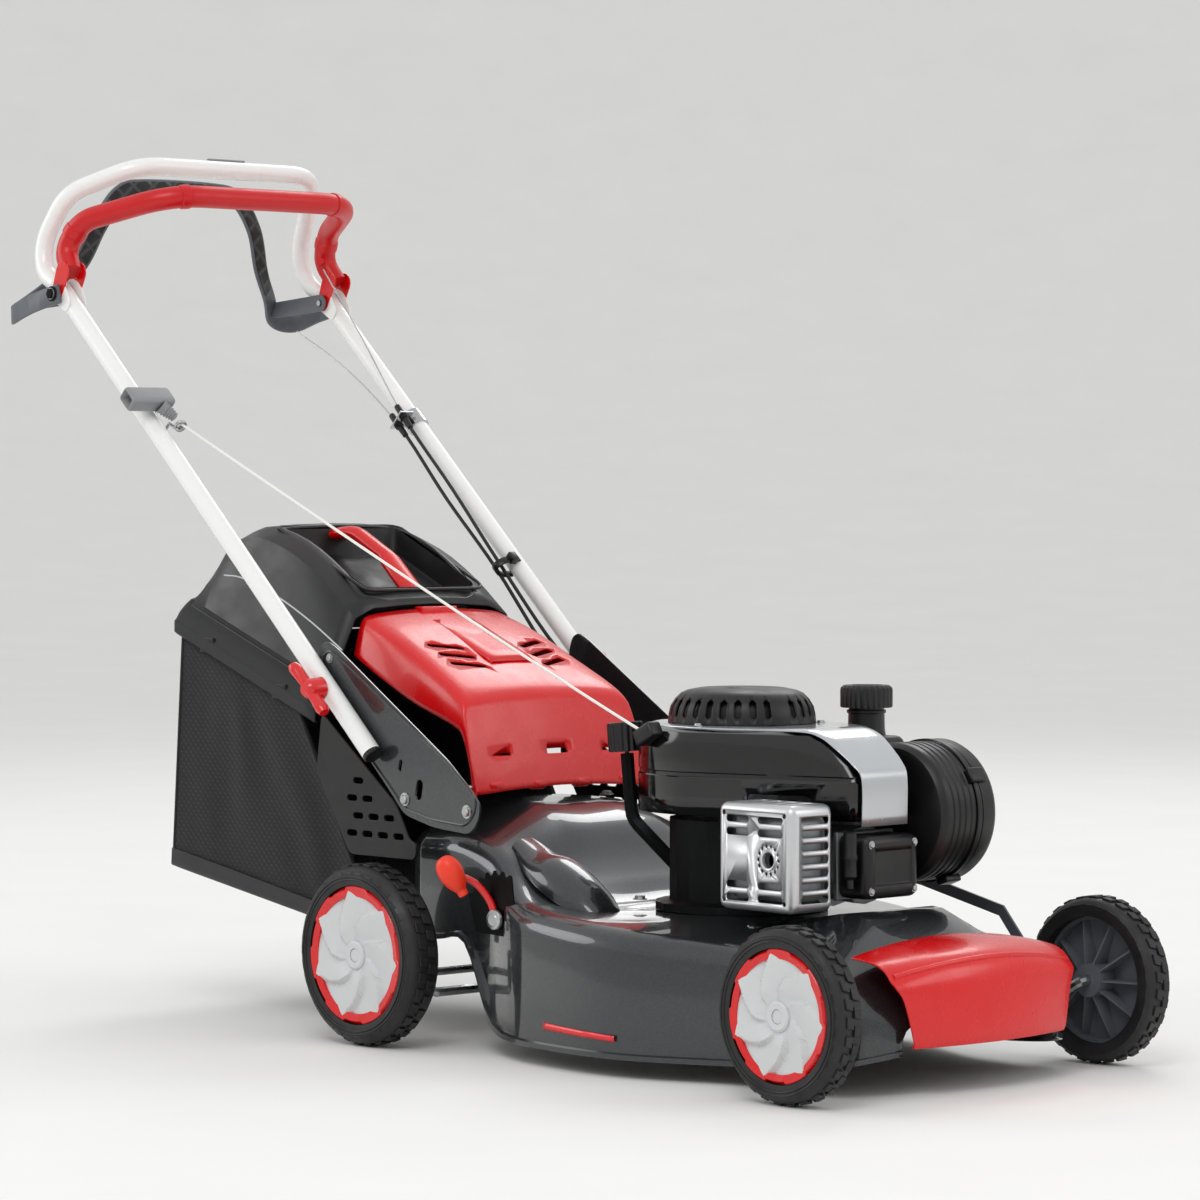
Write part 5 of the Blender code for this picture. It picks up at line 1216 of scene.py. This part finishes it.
# --- handle and controls ---------------------------------------------------------------
HANDLE_UPPER = ((-0.733, 0.228, 0.9740), (-0.742, 0.222, 1.018), (-0.706, 0.210, 1.081),
                (-0.626, 0.148, 1.118))


def band(name, points, faces, width, thickness, inset=0.0):
    """A flat bar with rounded edges along points; faces are the ways its broad side looks."""
    bm = bmesh.new()
    rows = []
    for i, (p, face) in enumerate(zip(points, faces)):
        along = (points[min(i + 1, len(points) - 1)] - points[max(i - 1, 0)]).normalized()
        out = (face - along * face.dot(along)).normalized()
        wide = along.cross(out)
        w, t = width / 2, thickness / 2
        outline = [(-w, -t * 0.4), (-w + t * 0.6, -t), (w - t * 0.6, -t), (w, -t * 0.4), (w, t * 0.4),
                   (w - t * 0.6, t),
                   (-w + t * 0.6, t), (-w, t * 0.4)]
        rows.append([p + wide * a + out * (b + inset) for a, b in outline])
    grid(bm, rows, loop=True, first=True, last=True)
    return from_bmesh(name, bm, 45)


def make_handlebar():
    half = [on_leg(0, HANDLE_Y), on_leg(0.8825, HANDLE_Y)] + [Vector(p) for p in HANDLE_UPPER]
    route = bent(mirrored(half), 0.075, 10)
    bar = tube("push_bar", route, 0.0125, 20)
    settle(bar, "white", "handle", "handlebar")
    for sign, side in ((-1, "right"), (1, "left")):
        settle(lathe("bar_end_cap_" + side, [(0, -0.0025), (0.0110, -0.0020), (0.0128, 0.0005),
                                             (0.0128, 0.0030)],
                     on_leg(0, sign * HANDLE_Y), LEG, 32), "black", "handle")
    plate = block("bar_inset", (-0.0068, -0.032, -0.0012), (0.0068, 0.032, 0.0012), 0.0011, 2,
                  Matrix.Rotation(-0.35, 4, "Y"),
                  (-0.6305, 0, 1.1300))
    settle(plate, "grip", "handle")
    for sign, side in ((-1, "right"), (1, "left")):
        # Clevis pressed over the leg's end, with the pivot bolt in it
        for k, offset in enumerate((-0.0150, 0.0150)):
            ear = [(PIVOT.x + dx, PIVOT.z + dz) for dx,
                   dz in ((-0.024, 0.002), (-0.008, 0.024), (0.014, 0.016), (0.030, -0.012),
                                                             (0.020, -0.026), (-0.006, -0.010))]
            settle(sheet_of("clevis_%s_%d" % (side, k), [rounded(ear, 0.010)], 0.0016,
                            (0, sign * (HANDLE_Y + offset * 0.88), 0),
                            bevel=0.0004), "white", "handle")
        bolt("pivot_head_" + side, (PIVOT.x, sign * 0.2522, PIVOT.z), (0, sign, 0), 0.0075, "case", "handle")
        dress("zinc", "pivot_bolt_" + side)


def make_levers():
    """Brake bail with cuffs, and the drive lever with its waffled inlay."""
    start = PIVOT + LEG_FRONT * 0.0300 + LEG * 0.010
    half = [Vector((start.x, HANDLE_Y, start.z)), Vector((-0.690, 0.224, 1.003)),
            Vector((-0.668, 0.214, 1.042)),
            Vector((-0.547, 0.153, 1.074))]
    route = bent(mirrored(half), 0.085, 10)
    settle(tube("brake_bar", route, 0.0150, 20), "bail", "bail", "brake_bail")
    for sign, side in ((-1, "right"), (1, "left")):
        for k, offset in enumerate((-0.0162, 0.0162)):
            u, v = PIVOT, start
            ear = []
            way = Vector((v.x - u.x, v.z - u.z)).normalized()
            tilt = math.atan2(way.y, way.x)
            for c, r, a0 in ((v, 0.0140, -1), (u, 0.0115, 1)):
                for i in range(9):
                    a = tilt + (math.pi / 2) * a0 + math.pi * i / 8
                    ear.append((c.x + r * math.cos(a), c.z + r * math.sin(a)))
            hole = circle(u.x, u.z, 0.0043)
            settle(sheet_of("brake_ear_%s_%d" % (side, k), [ear, hole], 0.0022,
                            (0, sign * (HANDLE_Y + offset * 0.86), 0), bevel=0.0005),
                   "red", "bail")
        lug = [Vector((-0.688, sign * 0.222, 1.003)), Vector((-0.672, sign * 0.2040, 1.003))]
        if sign > 0:
            settle(tube("brake_cable_lug", lug, 0.0050, 12), "bail", "bail")
        for k, at in enumerate((len(route) // 5, len(route) // 2 - 4)):
            i = at if sign < 0 else len(route) - 1 - at
            along = (route[min(i + 1, len(route) - 1)] - route[i - 1]).normalized()
            cuff = [(0.0150, -0.0070), (0.0162, -0.0060), (0.0166, 0), (0.0162, 0.0060), (0.0150, 0.0070)]
            settle(lathe("brake_cuff_%s_%d" % (side, k), cuff, route[i], along, 40), "bail", "bail")

    side_way, back = Vector((0, 1, 0)), Vector((-1, 0, -0.15))
    path = [(PIVOT.x + 0.012, 0.2490, PIVOT.z, side_way),
            (PIVOT.x - 0.050, 0.2490, PIVOT.z - 0.012, side_way),
            (-0.782, 0.2440, 0.919, Vector((-0.5, 0.9, 0))),
            (-0.798, 0.2220, 0.926, Vector((-1, 0.45, -0.1))),
            (-0.772, 0.1900, 0.955, back), (-0.748, 0.1570, 0.992, back), (-0.734, 0.1340, 1.045, back),
            (-0.730, 0.1020, 1.086, back), (-0.730, 0.060, 1.096, back)]
    route = [Vector(p[:3]) for p in path]
    faces = [p[3] for p in path]
    route += [Vector((p.x, -p.y, p.z)) for p in reversed(route)]
    faces += [Vector((f.x, -f.y, f.z)) for f in reversed(faces)]
    points, ways = eased(route, 8), eased(faces, 8)
    settle(band("drive_frame", points, ways, 0.026, 0.0046), "grey", "drive_handle", "drive_lever")
    first, last = 34, len(points) - 34
    settle(band("drive_inlay", points[first:last], ways[first:last], 0.0185, 0.0022, -0.0026), "waffle",
           "drive_handle")
    settle(band("drive_inlay_rear", points[first:last], ways[first:last], 0.0185, 0.0022, 0.0026), "waffle",
           "drive_handle")
    for sign, side in ((-1, "right"), (1, "left")):
        cheek = []
        u, v = PIVOT, Vector((-0.784, 0, 0.937))
        tilt = math.atan2(v.z - u.z, v.x - u.x)
        for c, r, a0 in ((v, 0.011, -1), (u, 0.012, 1)):
            cheek += [(c.x + r * math.cos(tilt + math.pi / 2 * a0 + math.pi * i / 8),
                       c.z + r * math.sin(tilt + math.pi / 2 * a0 + math.pi * i / 8)) for i in range(9)]
        settle(sheet_of("drive_cheek_" + side, [cheek, circle(u.x, u.z, 0.0043)], 0.0026,
                        (0, sign * 0.2110, 0), bevel=0.0006),
               "grey", "drive_handle")


def make_fold_knobs():
    """Wing knobs that clamp the folding handle."""
    for side, sign in (("right", -1), ("left", 1)):
        face = HANDLE_Y + 0.0128
        centre = KNOB_AXIS + Vector((0, 0, 0))
        profile = [(0, face + 0.0260), (0.0080, face + 0.0256), (0.0115, face + 0.0225),
                   (0.0130, face + 0.0180),
                   (0.0142, face + 0.0040), (0.0150, face + 0.0005), (0.0150, face), (0.0040, face),
                   (0.0040, 0.2090), (0, 0.2090)]
        hub = lathe("clamp_hub_" + side, profile, (centre.x, 0, centre.z), (0, sign, 0), 40)
        settle(hub, "knob", "knob_" + side, "fold_knob_" + side)
        rows = []
        for k in range(15):
            t = -1 + 2 * k / 14
            wide = 0.0045 + 0.0045 * abs(t) ** 1.5 if abs(t) < 0.97 else 0.006
            tall = 0.0105 - 0.001 * abs(t) if abs(t) < 0.97 else 0.007
            at = centre + LEG * (0.042 * t) + Vector((0, sign * (face + 0.0155 + 0.003 * abs(t)), 0))
            rows.append([at + LEG_FRONT * (wide * math.cos(a)) + Vector((0, tall * math.sin(a), 0))
                         for a in [math.tau * i / 14 for i in range(14)]])
        bm = bmesh.new()
        grid(bm, rows, loop=True, first=True, last=True)
        settle(from_bmesh("clamp_wings_" + side, bm, 60), "knob", "knob_" + side)


def make_controls():
    """Cable bracket, rope with its grip and guide, and the two control cables."""
    dress("zinc", "cable_bracket")
    top = on_leg(0.590, -0.2120, 0.024)
    rope_path = eased([top, Vector((-0.250, -0.1905, 0.6700)), Vector((0.050, -0.1600, 0.5270)),
                       Vector((0.240, -0.1400, 0.4390)),
                       Vector((0.350, -0.1285, 0.3900))], 8)
    rope_path.reverse()
    rope = applied(tube("pull_rope", rope_path, 0.0018, 10))
    settle(rope, "rope", None, "starter_rope")
    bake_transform(rope)
    y = 0.2035
    lug = Vector((-0.672, 0.2040, 1.003))
    routes = {
        "bail_cable": [lug + Vector((0.006, 0, -0.012)), on_leg(0.760, y, 0.030), on_leg(0.623, y, 0.010),
                       on_leg(0.480, y, 0.006),
                       on_leg(0.340, y, -0.002), on_leg(0.180, y, -0.006), Vector((-0.060, y, 0.395)),
                       Vector((0.080, y, 0.320)),
                       Vector((0.190, 0.190, 0.275)), Vector((0.260, 0.150, 0.262)),
                       Vector((0.290, 0.106, 0.262))],
        "drive_cable": [Vector((-0.724, y, 0.905)), on_leg(0.760, y, -0.024), on_leg(0.623, y, -0.006),
                        on_leg(0.480, y, -0.012),
                        on_leg(0.340, y, -0.012), on_leg(0.180, y, -0.022), Vector((-0.075, y, 0.375)),
                        Vector((-0.034, y, 0.285)),
                        Vector((-0.028, 0.198, 0.190)), Vector((-0.020, 0.150, 0.110)),
                        Vector((0.012, 0.075, 0.088))]}
    for name, route in routes.items():
        points = eased(route, 6)
        sleeve = [p for p in points if (p - on_leg(0.623)).dot(LEG) <= 0.004]
        wire = [p for p in points if (p - on_leg(0.623)).dot(LEG) > 0] + [sleeve[0]]
        cable = applied(tube(name + "_sleeve", sleeve, 0.0025, 10))
        settle(cable, "black", None, name)
        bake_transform(cable)
        settle(tube(name + "_wire", wire, 0.0010, 8), "zinc", "handle")
        along = (sleeve[0] - sleeve[2]).normalized()
        hexes = [(0.0014, 0.020), (0.0040, 0.020), (0.0045, 0.017), (0.0045, 0.0060), (0.0062, 0.0055),
                 (0.0062, -0.0045),
                 (0.0045, -0.0050), (0.0040, -0.022), (0.0027, -0.023)]
        settle(lathe(name + "_adjuster", hexes, sleeve[0], along, 6 * 3, smooth=25), "black", "handle")
    # Clip that holds both cables to the leg, and the wire eye that the rope runs through
    turn = Matrix.Rotation(LEG_SLOPE - math.pi / 2, 4, "Y")
    at = on_leg(0.335, 0, -0.003)
    loop = [Vector((0, 0.2195 + 0.0265 * math.cos(a), 0)) + at + LEG_FRONT * (0.0148 * math.sin(a))
            for a in [math.tau * i / 40 for i in range(40)]]
    faces = [Vector((0, math.cos(a), 0)) + LEG_FRONT * math.sin(a) for a in [math.tau * i / 40 for i in range(40)]]
    settle(band("cable_clip", loop + loop[:1], faces + faces[:1], 0.011, 0.0022), "black", "handle")
    settle(block("cable_clip_lock", (-0.006, -0.006, -0.007), (0.006, 0.006, 0.007), 0.002, 3, turn,
                 at + LEG_FRONT * 0.016 + Vector((0, 0.214, 0))), "black", "handle")
    eye = on_leg(0.598, -0.2120, 0.024)
    coil = [on_leg(0.598, -0.2175, 0.004), on_leg(0.598, -0.2165, 0.014)]
    for i in range(34):
        a = math.tau * 1.45 * i / 33 - 2.2
        coil.append(eye - LEG * 0.018 + Vector((0, 0.0065 * math.cos(a),
                                                0)) + LEG_FRONT * (0.0065 * math.sin(a)) + LEG * (0.0075 * i / 33))
    settle(tube("rope_eye", coil, 0.0022, 10), "zinc", "handle")
    centre = on_leg(0.627, -0.2440, 0.030)
    grip = block("pull_grip_shell", (-0.0115, -0.036, -0.0145), (0.0115, 0.036, 0.0145), 0.0062, 5, turn,
                 centre)
    hollow = block("hollow", (-0.0080, -0.050, -0.0110), (0.0080, 0.030, 0.0110), 0.003, 3, turn,
                   centre + Vector((0, -0.004, 0)))
    carve(grip, [hollow])
    settle(grip, "grip", "pull_grip", "starter_grip")
    a, b = centre - LEG * 0.012 + Vector((0, 0.014, 0)), top + LEG * 0.008
    way = (b - a).normalized()
    reach = (b - a).length
    neck = [(0.0105, 0.0)]
    for k in range(5):
        z = reach * (0.30 + 0.15 * k)
        neck += [(0.0085 - 0.0007 * k, z - 0.0012), (0.0096 - 0.0007 * k, z),
                 (0.0096 - 0.0007 * k, z + 0.0010),
                 (0.0078 - 0.0007 * k, z + 0.0020)]
    neck += [(0.0042, reach), (0, reach)]
    settle(lathe("pull_grip_neck", neck, a, way, 32), "grip", "pull_grip")


# --- grass bag --------------------------------------------------------------------------
def rim_z(x):
    return 0.503 - 0.37 * (x + 0.479)


def bag_row(share, half, lift=0.0, depth=None, count=7):
    """A U-shaped section between the rear edge (0) and the mouth (1)."""
    top = Vector((-0.478, 0.492)).lerp(Vector((-0.235, 0.402)), share)
    low = Vector((-0.500, 0.186)).lerp(Vector((-0.075, 0.118)), share)
    if depth is not None:
        top = low + (top - low).normalized() * depth
    low = low - Vector((0, lift))
    points = [(half, 0.93 * k / count) for k in range(count + 1)]
    points += [(half - 0.001, 0.955), (half - 0.005, 0.982), (half - 0.016, 1.0), (half * 0.72, 1.0),
               (half * 0.40, 1.0)]
    out = []
    for y, t in points:
        at = top.lerp(low, t)
        out.append(Vector((at.x, y, at.y)))
    return out + [Vector((low.x, 0, low.y))] + [Vector((p.x, -p.y, p.z)) for p in reversed(out)]


def make_bag():
    """Cloth bag on its frame, moulded tray below it, lid with window and grip."""
    size = bpy.context.scene.mower_sizes
    bm = bmesh.new()
    rows = refined([bag_row(i / 8, 0.190) for i in range(9)], 5, 3)
    made = grid(bm, rows)
    # Rear panel, between the two sides of the first row
    first = made[0]
    n = len(first)
    middle = n // 2
    columns = [[first[i], first[n - 1 - i]] for i in range(middle)]
    inner = []
    for a, b in columns:
        line = [a] + [bm.verts.new(a.co.lerp(b.co, k / 20)) for k in range(1, 20)] + [b]
        inner.append(line)
    for line, after in zip(inner, inner[1:]):
        for k in range(20):
            pair = {line[k], line[k + 1], after[k + 1], after[k]}
            if len(pair) > 2:
                bm.faces.new([v for v in (line[k], line[k + 1], after[k + 1], after[k])])
    bm.faces.new([inner[-1][k] for k in range(21)] + [first[middle]])
    bmesh.ops.recalc_face_normals(bm, faces=bm.faces)
    bm.normal_update()
    # Sag between the frame's bars: hollows that deepen towards the middle of each panel, with soft folds
    for v in bm.verts:
        t = (rim_z(v.co.x) - v.co.z) / 0.30
        hang = max(0.0, min(1.0, t * 3.0)) * max(0.0, min(1.0, (1.05 - t) * 2.5))
        down = (0.492 - v.co.z) / 0.306
        corner = math.hypot(v.co.x + 0.478 + 0.022 * down, 0.190 - abs(v.co.y)) / 0.060
        mouth = (-0.235 + 0.160 * down - v.co.x) / 0.060
        hang *= max(0.0, min(1.0, corner, mouth))
        fold = noise.noise(Vector((v.co.x * 9, v.co.y * 9, v.co.z * 5 + 3)))
        crease = math.sin(v.co.x * 62 + v.co.z * 24 + 3 * fold)
        depth = size.bag_sag * hang * (0.55 + 0.55 * fold) + 0.0016 * hang * crease
        v.co -= v.normal * max(depth, -0.0004)
    cloth = thicken(from_bmesh("bag_cloth", bm, 80), 0.0016, -1.0)
    settle(cloth, "cloth", "bag", "bag_fabric")
    # Piping along the rear corners and the mouth
    for sign, side in ((-1, "right"), (1, "left")):
        edge = [Vector((p.x + 0.001, sign * abs(p.y), p.z)) for p in bag_row(0.0, 0.1895)[:13]]
        settle(tube("bag_piping_rear_" + side, eased(edge, 3), 0.0022, 8), "dark", "bag")
        edge = [Vector((p.x - 0.002, sign * abs(p.y), p.z)) for p in bag_row(1.0, 0.1895)[:13]]
        settle(tube("bag_piping_mouth_" + side, eased(edge, 3), 0.0024, 8), "dark", "bag")

    tray_rows = [bag_row(i / 8, 0.1903, 0.0003, 0.022, 3) for i in range(9)]
    bm = bmesh.new()
    made = grid(bm, refined(tray_rows, 3, 2), first=True)
    tray = thicken(from_bmesh("bag_tray", bm, 50), 0.0025, 1.0, 0.0006)
    settle(tray, "lid", "bag", "bag_base")

    half = 0.191
    stations = [(-0.486, 0.545), (-0.481, 0.572), (-0.474, 0.590), (-0.460, 0.608), (-0.440, 0.622),
                (-0.400, 0.630), (-0.330, 0.612),
                (-0.260, 0.575), (-0.196, 0.528)]
    rows = []
    for x, crown in stations:
        rim = rim_z(x)
        points = [(half, rim - 0.012), (half + 0.003, rim - 0.010), (half + 0.003, rim + 0.002),
                  (half, rim + 0.005),
                  (half - 0.006, rim + 0.014), (half - 0.014, rim + 0.022), (half - 0.024, rim + 0.030),
                  (0.148, 0.5 * (rim + 0.030 + crown - 0.008)), (0.128, crown - 0.012),
                  (0.108, crown - 0.0035), (0.098, crown),
                  (0.050, crown + 0.003), (0, crown + 0.004)]
        rows.append([Vector((x, y, z)) for y, z in points] + [Vector((x, -y, z)) for y,
                z in reversed(points[:-1])])
    bm = bmesh.new()
    grid(bm, [list(r) for r in zip(*[eased(c, 3) for c in zip(*rows)])], first=True)
    lid = thicken(from_bmesh("bag_cover", bm, 28), 0.0030, 1.0)
    carve(lid, [block("recess", (-0.385, -0.095, 0.45), (-0.215, 0.095, 0.70), 0.010, 4)])
    settle(lid, "lid", "bag", "bag_lid")

    # Recessed pan below the grip, closed all round
    rows = []
    for depth, inset in ((0.004, 0.0), (-0.006, 0.0008), (-0.028, 0.004), (-0.032, 0.010), (-0.033, 0.060)):
        loop = []
        for x, y in rounded([(-0.3845 + inset, -0.0945 + inset), (-0.2155 - inset, -0.0945 + inset),
                             (-0.2155 - inset, 0.0945 - inset), (-0.3845 + inset, 0.0945 - inset)], 0.012):
            crown = 0.612 + (x + 0.330) * (-0.53 if x > -0.33 else -0.25)
            loop.append(Vector((x, y, crown + depth)))
        rows.append(loop)
    bm = bmesh.new()
    grid(bm, rows, loop=True, last=True)
    pan = from_bmesh("bag_pan", bm, 40)
    settle(pan, "guard", "bag")
    outline = [Vector((x, y, 0.6115 + (x + 0.330) * (-0.53 if x > -0.33 else -0.25) + 0.0055))
               for x, y in rounded([(-0.393, -0.103), (-0.2075, -0.103), (-0.2075, 0.103), (-0.393, 0.103)],
                                   0.016)]
    settle(tube("bag_pan_rim", outline, 0.0022, 8, True), "lid", "bag")
    # Ribs on the lid's shoulders, and the pads of the frame clips
    for sign, side in ((-1, "right"), (1, "left")):
        for k in range(2):
            x = -0.420 + 0.150 * k
            z = rim_z(x) + 0.004
            settle(block("bag_clip_%s_%d" % (side, k), (x - 0.014, sign * 0.1935 - 0.0022, z - 0.016),
                         (x + 0.014, sign * 0.1935 + 0.0022, z + 0.003),
                         0.0014), "black", "bag")
        rib = [Vector((x, sign * (half - 0.0165),
                       rim_z(x) + 0.0262)) for x in [-0.478 + 0.274 * k / 12 for k in range(13)]]
        settle(tube("bag_lid_rib_" + side, rib, 0.0022, 8), "lid", "bag")
        line = [Vector((x, sign * 0.150, 0.5 * (rim_z(x) + 0.030 + c - 0.008) + 0.0026)) for x,
                c in stations[4:]]
        settle(tube("bag_lid_line_" + side, eased(line, 4), 0.0011, 8), "print", "bag")

    path = bent([(-0.3847, 0, 0.622), (-0.350, 0, 0.6255), (-0.285, 0, 0.5935), (-0.2190, 0, 0.536)], 0.05, 6)
    rows = []
    for i, p in enumerate(path):
        along = (path[min(i + 1, len(path) - 1)] - path[max(i - 1, 0)]).normalized()
        up = Vector((0, 1, 0)).cross(along) * -1
        share = i / (len(path) - 1)
        wide = 0.0125 + 0.006 * abs(2 * share - 1) ** 3
        rows.append([p + Vector((0, wide * math.cos(a),
                                 0)) + up * (0.0092 * math.sin(a)) for a in [math.tau * k / 20 for k in range(20)]])
    bm = bmesh.new()
    grid(bm, rows, loop=True, first=True, last=True)
    settle(from_bmesh("bag_arch", bm, 60), "red", "bag", "bag_grip")


# --- add-on ---------------------------------------------------------------------------
class MowerSizes(bpy.types.PropertyGroup):
    deck_thickness: bpy.props.FloatProperty(name="Deck thickness",
                                            description="Thickness of the deck's steel", default=0.0025,
                                            unit="LENGTH")
    bag_sag: bpy.props.FloatProperty(name="Bag sag",
                                     description="How far the bag's cloth sinks between its bars",
                                     default=0.007, unit="LENGTH")


class MowerColours(bpy.types.PropertyGroup):
    deck: bpy.props.StringProperty(name="Deck", description="Colour of the deck's enamel, sRGB hex",
                                   default="#232527")
    red: bpy.props.StringProperty(name="Red", description="Colour of the red mouldings, sRGB hex",
                                  default="#D8040A")
    tube: bpy.props.StringProperty(name="Tube", description="Colour of the handle's coating, sRGB hex",
                                   default="#F1F2F0")
    cover: bpy.props.StringProperty(name="Wheel cover", description="Colour of the wheel covers, sRGB hex",
                                    default="#CDD0D1")


class MowerView(bpy.types.PropertyGroup):
    azimuth: bpy.props.FloatProperty(name="Azimuth", description="Camera's turn round the mower",
                                     default=math.radians(42.893),
                                     subtype="ANGLE")
    elevation: bpy.props.FloatProperty(name="Elevation", description="Camera's height as an angle",
                                       default=math.radians(1.556),
                                       subtype="ANGLE")
    distance: bpy.props.FloatProperty(name="Distance", description="Camera's distance from the mower",
                                      default=5.4513,
                                      unit="LENGTH")


def run(*makers):
    for maker in makers:
        maker()
    return {"FINISHED"}


class MOWER_OT_stage(bpy.types.Operator):
    """Floor, lights and camera"""
    bl_idname = "mower.stage"
    bl_label = "Stage"

    def execute(self, context):
        return run(make_stage)


class MOWER_OT_deck(bpy.types.Operator):
    """Pressed deck with its volutes, bolts and bumper"""
    bl_idname = "mower.deck"
    bl_label = "Deck and nose"

    def execute(self, context):
        return run(make_deck, make_nose)


class MOWER_OT_brackets(bpy.types.Operator):
    """Handle brackets, side guards and rear flap"""
    bl_idname = "mower.brackets"
    bl_label = "Brackets and flap"

    def execute(self, context):
        return run(make_brackets, make_flap)


class MOWER_OT_wheels(bpy.types.Operator):
    """Four wheels and the height adjuster"""
    bl_idname = "mower.wheels"
    bl_label = "Wheels"

    def execute(self, context):
        return run(make_wheels, make_height_adjuster)


class MOWER_OT_engine(bpy.types.Operator):
    """Blower housing, fuel system, filter and exhaust"""
    bl_idname = "mower.engine"
    bl_label = "Engine"

    def execute(self, context):
        return run(make_shroud, make_fuel_system, make_exhaust)


class MOWER_OT_handle(bpy.types.Operator):
    """Push bar, levers and clamp knobs"""
    bl_idname = "mower.handle"
    bl_label = "Handle"

    def execute(self, context):
        return run(make_handlebar, make_levers, make_fold_knobs)


class MOWER_OT_controls(bpy.types.Operator):
    """Starter rope, grip and control cables"""
    bl_idname = "mower.controls"
    bl_label = "Controls"

    def execute(self, context):
        return run(make_controls)


class MOWER_OT_bag(bpy.types.Operator):
    """Cloth bag with its tray, lid and grip"""
    bl_idname = "mower.bag"
    bl_label = "Grass bag"

    def execute(self, context):
        return run(make_bag)


OPERATORS = (MOWER_OT_stage, MOWER_OT_controls, MOWER_OT_deck, MOWER_OT_brackets, MOWER_OT_wheels,
             MOWER_OT_engine,
             MOWER_OT_handle, MOWER_OT_bag)


class MOWER_PT_pieces(bpy.types.Panel):
    bl_label = "Lawn Mower"
    bl_idname = "MOWER_PT_pieces"
    bl_space_type = "VIEW_3D"
    bl_region_type = "UI"
    bl_category = "Mower"

    def draw(self, context):
        for group in (context.scene.mower_sizes, context.scene.mower_colours, context.scene.mower_view):
            for key in group.__annotations__:
                self.layout.prop(group, key)
        for operator in OPERATORS:
            self.layout.operator(operator.bl_idname)


CLASSES = (MowerSizes, MowerColours, MowerView, *OPERATORS, MOWER_PT_pieces)


def register():
    for cls in CLASSES:
        bpy.utils.register_class(cls)
    bpy.types.Scene.mower_sizes = bpy.props.PointerProperty(type=MowerSizes)
    bpy.types.Scene.mower_colours = bpy.props.PointerProperty(type=MowerColours)
    bpy.types.Scene.mower_view = bpy.props.PointerProperty(type=MowerView)


def unregister():
    del bpy.types.Scene.mower_view
    del bpy.types.Scene.mower_colours
    del bpy.types.Scene.mower_sizes
    for cls in reversed(CLASSES):
        bpy.utils.unregister_class(cls)


def main():
    register()
    for operator in OPERATORS:
        group, name = operator.bl_idname.split(".")
        getattr(getattr(bpy.ops, group), name)()


if __name__ == "__main__":
    main()
